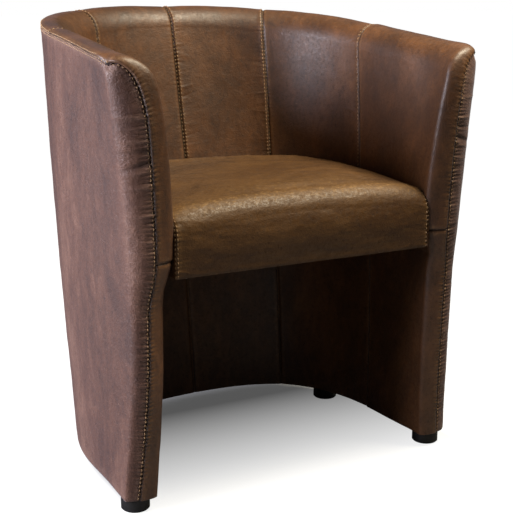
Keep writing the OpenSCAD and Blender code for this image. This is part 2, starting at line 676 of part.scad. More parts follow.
// Zigzag springs: half rings joined by straight bars, swept as one wire
spring_p = [-0.85, -0.3, 0.3, 0.85];
bend_steps = 3;
spring_sides = 5;
function spring_end(c) = seat_rear(c, seat_low, 2 * seat_e + seat_frame_w / 2);
function spring_line(c) =
    let (x = spring_end(c)[0], end = spring_end(c)[1],
         start = seat_front + 2 * seat_e + seat_frame_w / 2,
         count = 2 * floor((end - start) / (2 * spring_pitch)),
         step = (end - start) / count, r = step / 2, half = (spring_w - wire_d) / 2 - r)
    concat([[x - 3 * half, start], [x + half / 2, start]],
        [for (i = [0:count - 1]) for (k = [0:bend_steps])
            let (side = i % 2 == 0 ? 1 : -1, a = -90 + 180 * k / bend_steps)
            [x + side * (half + r * cos(a)), start + r + i * step + r * sin(a)]],
        [[x - half / 2, end], [x + 3 * half, end]]);
function ring(a, b, z) =
    let (d = (b - a) / norm(b - a), n = [d[1], -d[0]])
    [for (i = [0:spring_sides - 1])
        let (w = 360 * i / spring_sides, m = (a + b) / 2)
        [m[0] + n[0] * cos(w) * wire_d / 2, m[1] + n[1] * cos(w) * wire_d / 2, z + sin(w) * wire_d / 2]];
module wire(line, z) {
    mids = [for (i = [0:len(line) - 2]) ring(line[i], line[i + 1], z)];
    n = len(mids);
    s = spring_sides;
    points = [for (m = mids) each m];
    faces = concat([[for (i = [s - 1:-1:0]) i]], [[for (i = [0:s - 1]) (n - 1) * s + i]],
        [for (r = [0:n - 2]) for (i = [0:s - 1])
            let (a = r * s + i, b = r * s + (i + 1) % s) each [[a, b, b + s], [a, b + s, a + s]]]);
    polyhedron(points, faces, convexity = 8);
}
module seat_springs() {
    color(steel_colour) for (c = spring_p) wire(spring_line(c), spring_z);
}
module clip() {
    w = wire_d / 2 + gap;
    h = wire_d + gap;
    translate([-clip_w / 2, 0, clip_z]) rotate([90, 0, 90]) linear_extrude(clip_w) polygon([
        [-w - clip_t, 0], [-w, 0], [-w, h], [w, h], [w, 0], [w + clip_tab, 0], [w + clip_tab, clip_t],
        [w + clip_t, clip_t], [w + clip_t, h + clip_t], [-w - clip_t, h + clip_t]]);
}
module spring_clips() {
    color(steel_colour) for (c = spring_p) {
        translate([spring_end(c)[0], spring_line(c)[0][1], 0]) mirror([0, 1, 0]) clip();
        translate([spring_end(c)[0], spring_end(c)[1], 0]) clip();
    }
}

// Battens on the wall under the seat, and the screws through them into the seat frame
batten_w = 44;
batten_z = seat_z - gap;
batten_out = function(c, z) wall_t(c, seat_z) + gap;
batten_in = function(c, z) wall_t(c, seat_z) + gap + batten_w;
module batten_block(cs) {
    rows = [batten_z - batten, batten_z];
    color(wood_colour) difference() {
        sheet(grid(cs, rows, batten_out), grid(cs, rows, batten_in), cs[0] < 0);
        seat_screw_places(batten_z - batten - over)
            cylinder(h = batten + 2 * over, d = screw_d + gap, $fn = 32);
    }
}
screw_cells = [1.9, 2.3];
module seat_screw_places(z) {
    for (s = [-1, 1]) for (c = concat(screw_cells, [cell]))
        let (q = seat_rear(c, seat_low, 2 * seat_e + seat_frame_w / 3))
            translate([s * q[0], q[1], z]) children();
}
module batten_right() { batten_block(cells(1.8, 2.4)); }
module batten_left() { mirror([1, 0, 0]) batten_block(cells(1.8, 2.4)); }
module batten_back() { batten_block(cells(-2 * cell, 2 * cell)); }
module seat_screws() {
    color(steel_colour) seat_screw_places(batten_z - batten - head_h - gap) rotate_extrude($fn = 32)
        polygon([[0, 0], [head_d / 2, 0], [head_d / 2, head_h], [screw_d / 2, head_h],
            [screw_d / 2, batten + screw_len / 2], [0, batten + screw_len / 2 + head_h]]);
}

outer_cover();
back_cover_left();
back_cover_right();
shoulder_cover_left();
shoulder_cover_right();
arm_cover_left();
arm_cover_right();
back_lining_left();
back_lining_right();
shoulder_lining_left();
shoulder_lining_right();
arm_lining_left();
arm_lining_right();
outer_wadding();
inner_foam();
rim_padding();
arm_foam_left();
arm_foam_right();
outer_board();
inner_board();
lower_board();
base_rail();
seat_rail();
top_rail();
lower_back_post_left();
lower_back_post_right();
lower_side_post_left();
lower_side_post_right();
lower_front_post_left();
lower_front_post_right();
upper_back_post_left();
upper_back_post_right();
upper_side_post_left();
upper_side_post_right();
upper_front_post_left();
upper_front_post_right();
bottom_strip();
foot_front_left();
foot_front_right();
foot_back_left();
foot_back_right();
foot_screws();
seat_cover();
seat_border_left();
seat_border_right();
seat_foam();
seat_felt();
seat_springs();
spring_clips();
seat_frame();
seat_dust_cloth();
batten_left();
batten_right();
batten_back();
seat_screws();
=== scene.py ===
import math
import random

import bmesh
import bpy
import numpy as np
from mathutils import Matrix, Vector, noise
from mathutils.bvhtree import BVHTree
from mathutils.kdtree import KDTree


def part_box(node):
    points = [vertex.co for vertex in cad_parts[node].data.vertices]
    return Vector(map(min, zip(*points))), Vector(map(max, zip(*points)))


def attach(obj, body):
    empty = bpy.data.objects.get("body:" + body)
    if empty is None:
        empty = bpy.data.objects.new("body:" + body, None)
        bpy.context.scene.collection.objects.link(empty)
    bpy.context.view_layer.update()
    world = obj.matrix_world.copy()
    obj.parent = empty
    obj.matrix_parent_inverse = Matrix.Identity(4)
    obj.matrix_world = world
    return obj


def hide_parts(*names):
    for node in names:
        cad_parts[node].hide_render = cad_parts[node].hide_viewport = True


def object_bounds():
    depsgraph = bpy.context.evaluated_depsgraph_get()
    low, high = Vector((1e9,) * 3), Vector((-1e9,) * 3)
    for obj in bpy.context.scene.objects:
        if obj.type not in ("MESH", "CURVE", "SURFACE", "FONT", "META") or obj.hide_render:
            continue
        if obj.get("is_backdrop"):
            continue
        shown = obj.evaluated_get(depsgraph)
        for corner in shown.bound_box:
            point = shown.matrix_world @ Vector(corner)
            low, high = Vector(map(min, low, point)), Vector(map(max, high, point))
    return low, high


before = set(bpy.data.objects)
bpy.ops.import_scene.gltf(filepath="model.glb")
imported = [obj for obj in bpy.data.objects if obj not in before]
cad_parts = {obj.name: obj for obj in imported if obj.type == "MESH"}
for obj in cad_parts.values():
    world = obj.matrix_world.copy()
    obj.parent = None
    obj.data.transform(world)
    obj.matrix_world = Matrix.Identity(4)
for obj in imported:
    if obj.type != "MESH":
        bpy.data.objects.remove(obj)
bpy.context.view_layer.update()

MM = 0.001
SIDES = (("right", 1), ("left", -1))
CAP_COLS = 16  # columns round the outer side of an arm's nose
ROW_STEP = 1.15  # millimetres between the rows of a cover's mesh
INSIDE = 2.9  # millimetres from a cover's middle form to its hidden side
LEAST = 0.5  # the thinnest that the leather gets where it is drawn in
PAD_INSET = 1.4  # keeps the padding under the leather's folds

# ---- the part's dimensions in millimetres, as in its source
CHAIR_W, CHAIR_D, BACK_H, ARM_H, SHELL_Z = 680.0, 574.0, 770.0, 704.0, 22.0
WAIST_Z, FOOT_W, WAIST_W = 400.0, 628.0, 614.0
HIP_FOOT_W, HIP_WAIST_W, HIP_TOP_W = 617.0, 650.0, 658.0
SIDE_FOOT, SIDE_TOP, BACK_LEAN = 120.0, 229.0, 92.0
CORNER_FOOT, CORNER_WAIST, CORNER_TOP = 41.0, 20.0, 22.0
SQUARE_FOOT, SQUARE_TOP = 2.6, 2.25
FOOT_PAD, BACK_PAD, ARM_PAD, BACK_RIM_PAD, ARM_RIM_PAD = 50.0, 77.0, 70.0, 52.0, 60.0
BACK_ROUND, ARM_ROUND, RIDGE_IN, RIDGE_H = 32.0, 40.0, 18.0, 6.5
SHORT_Z, NOSE_OUT, NOSE_LOW, NOSE_ROUND = 405.0, 20.0, 9.0, 90.0
NOSE_IN, NOSE_MID_IN, NOSE_LOW_IN, NOSE_SWELL, NOSE_LOW_SWELL = 44.0, 34.0, 24.0, 14.0, 8.0
GAP = 0.3
SEAT_W, SEAT_Z, SEAT_H, SEAT_CROWN, SEAT_SET, SEAT_ROLL = 472.0, 377.0, 483.0, 9.0, 12.0, 38.0
SEAM_A, BEND, FLARE = (54.0, 5.0), 0.13, 1.6
NOSE_POWERS, TURN_POWERS, NOSE_START = (2.0, 3.0), (3.2, 1.7), (8.0, 30.0)
TUCK, TUCK_H, SEAT_CLEAR, SEAT_P = 4.0, 22.0, 1.5, 2.2
TURN_SHARES = (0, 0.4, 0.7, 0.9, 1)
MID_Z = 1.235 * SHORT_Z
REACH_Z, SWING_Z = 0.545 * SHORT_Z, 0.79 * SHORT_Z
BEND_Z, TURN_Z = SHORT_Z + TUCK_H / 2, ARM_H - NOSE_ROUND


def mix(a, b, s):
    return a + (b - a) * s


def by_height(a, b, c, z):
    return (a * (z - WAIST_Z) * (z - ARM_H) / ((SHELL_Z - WAIST_Z) * (SHELL_Z - ARM_H))
            + b * (z - SHELL_Z) * (z - ARM_H) / ((WAIST_Z - SHELL_Z) * (WAIST_Z - ARM_H))
            + c * (z - SHELL_Z) * (z - WAIST_Z) / ((ARM_H - SHELL_Z) * (ARM_H - WAIST_Z)))


def rise(z):
    return (z - SHELL_Z) / (BACK_H - SHELL_Z)


def corner_y(z):
    return -CHAIR_D / 2 + by_height(CORNER_FOOT, CORNER_WAIST, CORNER_TOP, z)


def side_run(z):
    return mix(SIDE_FOOT, SIDE_TOP, rise(z))


def plan(p, z):
    """Point of the outer face in plan, at place p along the U and height z."""
    a = np.abs(p)
    th = np.where(a <= 1, mix(90, SEAM_A[0], a),
                  np.where(a <= 2, mix(SEAM_A[0], SEAM_A[1], a - 1),
                           SEAM_A[1] * (1 - np.minimum(1, (a - 2) / BEND))))
    s = np.maximum(0, (a - 2 - BEND) / (1 - BEND))
    e = 2 / mix(SQUARE_FOOT, SQUARE_TOP, rise(z))
    hip = by_height(HIP_FOOT_W, HIP_WAIST_W, HIP_TOP_W, z) / 2
    corner = by_height(FOOT_W, WAIST_W, CHAIR_W, z) / 2
    y_hip = corner_y(z) + side_run(z)
    y_back = CHAIR_D / 2 - BACK_LEAN * (1 - rise(z))
    th = np.radians(th)
    cos, sin = np.maximum(np.cos(th), 0), np.maximum(np.sin(th), 0)
    x = np.where(p < 0, -1, 1) * (hip * cos ** e + (corner - hip) * s ** FLARE)
    y = mix(y_hip, y_back, sin ** e) - side_run(z) * s
    return x, y


def wall(p, z, t):
    """Points at depth t inward from the outer face, as an array of x, y, z."""
    p, z, t = np.broadcast_arrays(*(np.asarray(v, float) for v in (p, z, t)))
    ax, ay = plan(p - 0.01, z)
    bx, by = plan(p + 0.01, z)
    cx, cy = plan(p, z)
    dx, dy = bx - ax, by - ay
    n = np.hypot(dx, dy)
    return np.stack([cx + t * dy / n, cy - t * dx / n, z], axis=-1)


def ahead(f, z):
    return 3 + (1 - BEND) * f / side_run(z)


def rim_plane(y):
    y0 = corner_y(ARM_H)
    return mix(ARM_H, BACK_H, (y - y0) / (CHAIR_D / 2 - y0))


def rim_height(p):
    """Height of the rim seam at a place along the U, right up to the front corner."""
    z = np.full(np.shape(p), ARM_H)
    for _ in range(5):
        z = rim_plane(plan(np.asarray(p, float), z)[1])
    return z


def rim_z(p):
    """The same, but level from where the arm's nose starts."""
    return rim_height(np.minimum(np.abs(p), ahead(-NOSE_START[1], ARM_H)))


def arm_share(p):
    return np.minimum(1, np.abs(p) / 2)


def round_h(p):
    return mix(BACK_ROUND, ARM_ROUND, arm_share(p))


def rim_pad(p):
    return mix(BACK_RIM_PAD, ARM_RIM_PAD, arm_share(p))


def seat_pad(p):
    return mix(BACK_PAD, ARM_PAD, arm_share(p))


def wall_t(p, z):
    """Thickness of the padded wall, drawn in at the short seam."""
    p, z = np.broadcast_arrays(np.asarray(p, float), np.asarray(z, float))
    top = rim_z(p) - round_h(p)
    low = mix(FOOT_PAD, seat_pad(p) - TUCK, np.clip((z - SHORT_Z + 2 * TUCK_H) / (2 * TUCK_H), 0, 1))
    near = seat_pad(p) - TUCK * np.clip(1 - (z - SHORT_Z) / TUCK_H, 0, 1) ** 2
    high = mix(seat_pad(p), rim_pad(p), np.clip((z - SEAT_H) / (top - SEAT_H), 0, 1))
    return np.where(z < SHORT_Z, low, np.where(z < SHORT_Z + TUCK_H, near, high))


def seam_blend(z):
    return (1 - np.cos(math.pi * np.clip((z - SWING_Z) / (BEND_Z - SWING_Z), 0, 1))) / 2


def high_share(z):
    return np.clip((z - BEND_Z) / (TURN_Z - BEND_Z), 0, 1)


def swell(t, z):
    """Swelling of the arm's nose beyond the padded wall, which dies out over the rim."""
    return mix(NOSE_LOW_SWELL, NOSE_SWELL, high_share(z)) * np.minimum(1, t / FOOT_PAD)


def nose_point(r, turned):
    """Depth, forward reach and height of the front seam. r is a height, or below the rim if turned."""
    s = np.clip((r + NOSE_ROUND) / NOSE_ROUND, 0, 1) if turned else 0.0
    z = ARM_H + r if turned else r
    across = (1 - s ** TURN_POWERS[0]) ** (1 / TURN_POWERS[0])
    forward = (1 - s ** TURN_POWERS[1]) ** (1 / TURN_POWERS[1])
    low = np.clip((z - SHELL_Z) / (REACH_Z - SHELL_Z), 0, 1)
    reach = mix(NOSE_LOW * low, NOSE_OUT, seam_blend(z))
    depth = mix(mix(NOSE_LOW_IN, NOSE_MID_IN, seam_blend(z)), NOSE_IN, high_share(z))
    return depth * across, reach * forward, z


def cap(side, nose, k, power, fat=0.0):
    """Points of a quarter round from the side of the arm to its front seam."""
    c = np.maximum(np.cos(np.radians(90 * k)), 0) ** (2 / power)
    s = np.maximum(np.sin(np.radians(90 * k)), 0) ** (2 / power)
    t, f, z = mix(nose[0], side[0], c), mix(side[1], nose[1], s), mix(nose[2], side[2], c)
    return wall(ahead(f, z), z, t + fat * np.sin(math.pi * k) ** 2)


def graded(n, ease=0.75):
    """n + 1 values from 0 to 1 that are closer together at both ends."""
    x = np.linspace(0, 1, n + 1)
    return x - ease * np.sin(2 * math.pi * x) / (2 * math.pi)


def late(n, ease=0.7):
    """n + 1 values from 0 to 1 that are closer together at the end."""
    x = np.linspace(0, 1, n + 1)
    return x + ease * np.sin(math.pi * x) / math.pi


# ---- grids of the covers
CORNER_WAY = np.array([0.62, -0.48, 0.62])
CORNER_CUT, CORNER_REACH, CORNER_BLEND = 9.0, 15.0, 13.0


def near_corners(points, reach):
    """For each top front corner, how near the points are (1 at the corner) and its outward way."""
    for sign in (-1, 1):
        corner = np.array([sign * CHAIR_W / 2, -CHAIR_D / 2 + CORNER_TOP, ARM_H])
        away = np.linalg.norm(points - corner, axis=-1)
        yield np.exp(-(away / reach) ** 2)[..., None], CORNER_WAY * np.array([sign, 1, 1])


def soft_corners(points):
    """The leather's own roundness at the top of the front seams, where two seams meet."""
    for near, way in near_corners(points, CORNER_REACH):
        points = points - CORNER_CUT * near * way
    return points


def soft_normals(points, nrm):
    """Near those corners every normal turns to the same direction, so both covers move alike."""
    for near, way in near_corners(points, CORNER_BLEND):
        nrm = nrm * (1 - near) + way * near
    return nrm / np.linalg.norm(nrm, axis=-1, keepdims=True)


def outer_row(nose, height, cols):
    """One row of the outer face, from the left front seam round to the right one, at the point nose.

    height gives the row's height where the rim seam has the height that it is called with.
    """
    z_end = height(rim_plane(corner_y(ARM_H) + NOSE_START[0]))
    end = cap((0.0, -NOSE_START[0], z_end), nose, late(CAP_COLS, 0.5)[1:], NOSE_POWERS[0])
    c = cols * ahead(-NOSE_START[0], z_end) / 3
    side = wall(c, height(rim_height(c)), 0.0)
    return np.concatenate([end[::-1] * np.array([-1, 1, 1]), side, end])


def outer_grid():
    """Level rows, then rows that blend over to the rim's slope, then rows that follow the rim."""
    arm = 2 + late(40, 0.5)
    cols = np.concatenate([-arm[::-1][:-1], np.linspace(-2, 2, 110), arm[1:]])
    rows = [outer_row(nose_point(z, False), lambda rim: z + 0 * rim, cols)
            for z in np.linspace(SHELL_Z, MID_Z, int((MID_Z - SHELL_Z) / ROW_STEP))[:-1]]
    rows += [outer_row(nose_point(mix(MID_Z, ARM_H - NOSE_ROUND, s), False),
                       lambda rim: mix(MID_Z, rim - NOSE_ROUND, s), cols)
             for s in np.linspace(0, 1, int(114 / ROW_STEP))[:-1]]
    below = [-NOSE_ROUND * (1 - k) for k in late(int(80 / ROW_STEP), 0.6)[:-1]]
    rows += [outer_row(nose_point(r, True), lambda rim: rim + r, cols)
             for r in below + [-0.19, -0.06, -0.012, -0.001, 0.0]]
    return soft_corners(np.array(rows))


def side_profile(i, c):
    """Depth and height of the inner cover at row i, from the short seam (0) to the rim seam (12)."""
    base = rim_z(c) - round_h(c)
    if i <= 3:
        z = np.full(np.shape(c), SHORT_Z + TUCK_H * i / 2 if i <= 2 else
                    mix(SHORT_Z + TUCK_H, SEAT_H, i - 2))
        return wall_t(c, z), z
    if i <= 5:
        z = mix(SEAT_H, base, (i - 3) / 2)
        return wall_t(c, z), z
    if i <= 9:
        a = math.pi / 2 * (i - 5) / 4
        return (RIDGE_IN + (rim_pad(c) - RIDGE_IN) * math.cos(a),
                base + (round_h(c) + RIDGE_H) * math.sin(a))
    a = math.pi / 2 * (i - 9) / 3
    return RIDGE_IN * (1 - math.sin(a)) + 0 * c, rim_z(c) + RIDGE_H * math.cos(a)


def seam_row(i):
    """Front seam point for row i of the inner cover."""
    if i <= 4:
        z = np.interp(i, [0, 2, 3, 4], [SHORT_Z, SHORT_Z + TUCK_H, MID_Z, ARM_H - NOSE_ROUND])
        return nose_point(z, False)
    share = np.interp((i - 4) / 2, [0, 1, 2, 3, 4], TURN_SHARES)
    return nose_point(-NOSE_ROUND * (1 - share), True)


# rows of the profile and their distances up the panel
ROW_I = [0, 2, 3, 5, 9, 12]
ROW_ARC = [0, 22, 78, 259, 335, 356]
FINE_RUN = 24  # where the rows lie closer together below the rim seam


def inner_rows(step):
    start = ROW_ARC[-1] - FINE_RUN
    arc = np.linspace(0, start, int(ROW_ARC[-1] / step))
    return np.interp(np.concatenate([arc, start + FINE_RUN * late(18, 0.6)[1:]]), ROW_ARC, ROW_I)


def lining_profile(z, c):
    """Depth and height of a lining at height z."""
    return wall_t(c, z), np.full(np.shape(c), z)


def panel_grid(a, rows, cols, profile):
    """A panel between the seams at places a and a + 1 along the U."""
    c = a + GAP / SIDE_TOP + (1 - 2 * GAP / SIDE_TOP) * cols
    return np.array([wall(c, *profile(row, c)[::-1]) for row in rows])


def eased(grid, turn):
    """Rounds the turn between an arm panel's side and its nose a little more."""
    share = 0.5 * np.exp(-((np.arange(grid.shape[1]) - turn) / 5.0) ** 2)[None, 1:-1, None]
    for _ in range(30):
        middle = (grid[:, 2:] + grid[:, :-2]) / 2
        grid[:, 1:-1] += share * (middle - grid[:, 1:-1])
    return grid


def arm_grid(rows, cols, k, profile, seam_point):
    """An arm's panel: along the wall, then round the nose to the front seam."""
    out = []
    for row in rows:
        z3 = profile(row, np.array([3.0]))[1][0]
        c = mix(2 + GAP / SIDE_TOP, ahead(-NOSE_START[1], z3), cols)
        t, z = profile(row, c)
        nose = cap((t[-1], -NOSE_START[1], z[-1]), seam_point(row), k[1:], NOSE_POWERS[1],
                   swell(t[-1], z[-1]))
        out.append(np.concatenate([wall(c, z, t), nose]))
    return soft_corners(eased(np.array(out), len(cols)))


def blurred(values, times):
    for _ in range(times):
        wide = np.pad(values, ((1, 1), (1, 1), (0, 0)), mode="edge")
        values = (wide[:-2, 1:-1] + wide[2:, 1:-1] + wide[1:-1, :-2] + wide[1:-1, 2:] + wide[1:-1, 1:-1]) / 5
    return values


def normals(grid):
    """Unit normals; where rows and columns run together they come from the cells around."""
    du = np.gradient(grid, axis=1)
    dv = np.gradient(grid, axis=0)
    n = np.cross(du, dv)
    size = np.linalg.norm(n, axis=2, keepdims=True)
    spread = size / np.maximum(np.linalg.norm(du, axis=2, keepdims=True)
                               * np.linalg.norm(dv, axis=2, keepdims=True), 1e-9)
    n /= np.maximum(size, 1e-9)
    trust = np.clip((spread - 0.2) / 0.4, 0.002, 1)
    around = blurred(n * trust, 12) / blurred(trust, 12)
    n = n * trust + around * (1 - trust)
    return n / np.maximum(np.linalg.norm(n, axis=2, keepdims=True), 1e-9)


def facing(grid, at, way):
    """A grid's normals, turned so that the one at a given point looks along the way."""
    nrm = normals(grid)
    return nrm if nrm[at].dot(np.array(way)) >= 0 else -nrm


# ---- meshes
def new_mesh(name, verts, faces, material, smooth=True):
    me = bpy.data.meshes.new(name)
    me.from_pydata([tuple(v) for v in verts], [], faces)
    me.update()
    me.polygons.foreach_set("use_smooth", [smooth] * len(me.polygons))
    ob = bpy.data.objects.new(name, me)
    bpy.context.scene.collection.objects.link(ob)
    if material is not None:
        me.materials.append(material)
    return ob


def slab(front, back):
    """Vertices and faces of a closed sheet between two grids of the same size."""
    rows, cols = front.shape[:2]
    n = rows * cols
    verts = np.concatenate([front.reshape(-1, 3), back.reshape(-1, 3)]) * MM
    idx = np.arange(n).reshape(rows, cols)
    a, b, c, d = idx[:-1, :-1], idx[:-1, 1:], idx[1:, 1:], idx[1:, :-1]
    quads = np.stack([a, b, c, d], -1).reshape(-1, 4)
    faces = [quads, quads[:, ::-1] + n]
    ring = np.concatenate([idx[0, :-1], idx[:-1, -1], idx[-1, :0:-1], idx[:0:-1, 0]])
    nxt = np.roll(ring, -1)
    faces.append(np.stack([nxt, ring, ring + n, nxt + n], -1))
    return verts, np.concatenate(faces).tolist()


def mirrored(grid):
    return grid[:, ::-1] * np.array([-1, 1, 1])


# ---- sewn lines
FAR = 1e3  # distance given to points out of a seam's reach


class Seam:
    """A sewn line: points every millimetre with their distance along it."""

    def __init__(self, pts, nrm):
        step = np.linalg.norm(np.diff(pts, axis=0), axis=1)
        keep = np.concatenate([[True], step > 1e-6])
        pts, nrm = pts[keep], nrm[keep]
        along = np.concatenate([[0], np.cumsum(np.linalg.norm(np.diff(pts, axis=0), axis=1))])
        self.length = along[-1]
        self.s = np.linspace(0, self.length, int(self.length) + 2)
        self.pts = np.stack([np.interp(self.s, along, pts[:, i]) for i in range(3)], -1)
        n = np.stack([np.interp(self.s, along, nrm[:, i]) for i in range(3)], -1)
        self.nrm = n / np.linalg.norm(n, axis=1, keepdims=True)
        t = np.gradient(self.pts, axis=0)
        self.tan = t / np.linalg.norm(t, axis=1, keepdims=True)

    def near(self, grid, reach=60.0):
        """Distance to the line and place along it, for every point of a grid."""
        flat = grid.reshape(-1, 3)
        low, high = self.pts.min(0) - reach, self.pts.max(0) + reach
        close = np.nonzero(np.all((flat > low) & (flat < high), axis=1))[0]
        dist = np.full(len(flat), FAR)
        place = np.zeros(len(flat))
        line = self.pts[::3]
        size = (line ** 2).sum(1)
        for part in np.array_split(close, max(1, len(close) // 4000)):
            q = flat[part]
            idx = (size - 2 * q @ line.T).argmin(1) * 3
            idx = np.minimum(idx, len(self.s) - 1)
            rel = q - self.pts[idx]
            fwd = np.sum(rel * self.tan[idx], axis=1)
            off = rel - fwd[:, None] * self.tan[idx]
            dist[part] = np.linalg.norm(off, axis=1)
            place[part] = self.s[idx] + fwd
        dist[dist > reach] = FAR
        return dist.reshape(grid.shape[:2]), place.reshape(grid.shape[:2])


def puckers(d, s, amp, reach, pitch=6.4, seed=0.0):
    """The small gathers that a row of stitches pulls into the leather."""
    wave = np.sin(2 * math.pi * s / pitch + 1.7 * np.sin(s / 17.0 + seed) + seed)
    size = 0.7 + 0.3 * np.sin(s / 29.0 + 2 * seed) * np.sin(s / 11.0 + seed)
    return amp * wave * size * np.exp(-(d / reach) ** 1.5)


def tucks(d, s, amp, seed):
    """Longer wrinkles of unequal size that start at a seam and fan out from it."""
    out = np.zeros(d.shape)
    rng = random.Random(seed)
    place = rng.uniform(8, 20)
    end = s[d < FAR].max() if np.any(d < FAR) else 0
    while place < end - 8:
        reach, width = rng.uniform(10, 30), rng.uniform(1.9, 3.6)
        size = amp * rng.uniform(0.35, 1.0) * rng.choice((1, 1, -1))
        line = place + rng.uniform(-0.35, 0.35) * d
        out += size * np.exp(-((s - line) / width) ** 2) * np.exp(-(d / reach) ** 2)
        place += rng.uniform(13, 34)
    return out


def ends(seam, s, run=58.0):
    """Fades what a seam does to the leather towards its two ends."""
    return np.clip(s / run, 0, 1) * np.clip((seam.length - s) / run, 0, 1)


def marks(wave, amp, d, reach):
    """Painted shade in the valleys of the gathers and painted highlight on their crests."""
    near = np.exp(-(d / reach) ** 2)
    return near * np.clip(-wave / amp, 0, 1), near * np.clip(wave / amp, 0, 1)


def edge(d, depth, width):
    """The leather turning in at a seam, with the seam allowance raised beside it."""
    return -depth * np.exp(-(d / width) ** 2) + 0.35 * np.exp(-((d - 6.5) / 3.5) ** 2)


def field(grid, size, seed):
    """Smooth noise over a grid, about -1 to 1, with features of the given size in millimetres."""
    flat = grid.reshape(-1, 3) / size + seed * 17.3
    return np.array([noise.fractal(Vector(p), 0.9, 2.1, 3) for p in flat]).reshape(grid.shape[:2])


pieces = {}


def cover_piece(name, node, grid, nrm, relief, material, depth=INSIDE):
    """The leather over a CAD panel: a closed sheet whose visible side has relief, dirt with painted shade in
    seams and creases, and wear with painted highlight on crests.
    """
    amount, dirt_and_shade, wear_and_highlight = relief
    front = grid + nrm * np.maximum(amount, LEAST - INSIDE)[..., None]
    ob = new_mesh(name, *slab(front, grid - nrm * depth), material)
    for layer, values in (("dirt_and_shade", dirt_and_shade), ("wear_and_highlight", wear_and_highlight)):
        data = np.zeros(len(ob.data.vertices))
        data[:values.size] = values.reshape(-1)
        ob.data.attributes.new(layer, "FLOAT", "POINT").data.foreach_set("value", data)
    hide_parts(node)
    pieces[name] = ob


def surface_of(ob):
    me = ob.data
    return BVHTree.FromPolygons([v.co / MM for v in me.vertices], [p.vertices[:] for p in me.polygons])


def offset_line(seam, side, dist, tree, stop=0.0):
    """Points and normals on a surface, at a distance beside a seam, up to a run before its end.

    On the side where the surface ends at the seam, the line comes to lie in the seam itself.
    """
    pts, nrms = [], []
    for i in np.nonzero(seam.s <= seam.length - stop)[0]:
        b = np.cross(seam.nrm[i], seam.tan[i])
        q, n, _, _ = tree.find_nearest(Vector(seam.pts[i] + side * dist * b / np.linalg.norm(b)))
        pts.append(q)
        nrms.append(n if n.dot(Vector(seam.nrm[i])) >= 0 else -n)
    return np.array(pts), np.array(nrms)


STITCH_PITCH, STITCH_LENGTH, THREAD_R = 7.2, 4.6, 0.78
STITCH_SIDES, STITCH_RINGS = 6, 5
STITCH_LIFT, STITCH_DIP = 0.3, 0.62


def stitches(name, lines):
    """Rows of thread: each stitch is a short rounded bar that dips into the leather at both ends."""
    verts, faces = [], []
    for pts, nrm in lines:
        step = np.linalg.norm(np.diff(pts, axis=0), axis=1)
        along = np.concatenate([[0], np.cumsum(step)])

        def at(values, s):
            return np.array([np.interp(s, along, values[:, i]) for i in range(3)])

        for j in range(int(along[-1] / STITCH_PITCH)):
            s = (j + 0.5) * STITCH_PITCH
            t = at(pts, s + 1) - at(pts, s - 1)
            if np.linalg.norm(t) < 1e-6:
                continue
            t /= np.linalg.norm(t)
            n = at(nrm, s)
            n -= t * np.dot(n, t)
            n /= np.linalg.norm(n)
            add_stitch(verts, faces, at(pts, s), n, t)
    return new_mesh(name, verts, faces, THREAD)


def add_stitch(verts, faces, p, n, t):
    """One stitch at the point p, along t on a surface with the normal n."""
    b = np.cross(n, t)
    base = len(verts)
    for x in np.linspace(-1, 1, STITCH_RINGS):
        r = THREAD_R * (1 - 0.75 * abs(x) ** 3)
        centre = p + t * x * STITCH_LENGTH / 2 + n * (STITCH_LIFT - STITCH_DIP * x * x)
        for w in 2 * math.pi * np.arange(STITCH_SIDES) / STITCH_SIDES:
            verts.append((centre + (b * math.cos(w) + n * math.sin(w)) * r) * MM)
    ring = [base + k for k in range(STITCH_SIDES)]
    for i in range(0, (STITCH_RINGS - 1) * STITCH_SIDES, STITCH_SIDES):
        faces.extend((a + i, c + i, c + i + STITCH_SIDES, a + i + STITCH_SIDES)
                     for a, c in zip(ring, ring[1:] + ring[:1]))
    faces.append(tuple(ring)[::-1])
    faces.append(tuple(k + (STITCH_RINGS - 1) * STITCH_SIDES for k in ring))


# ---- materials
def srgb(r, g, b):
    out = []
    for v in (r, g, b):
        v /= 255
        out.append(v / 12.92 if v <= 0.04045 else ((v + 0.055) / 1.055) ** 2.4)
    return (*out, 1.0)


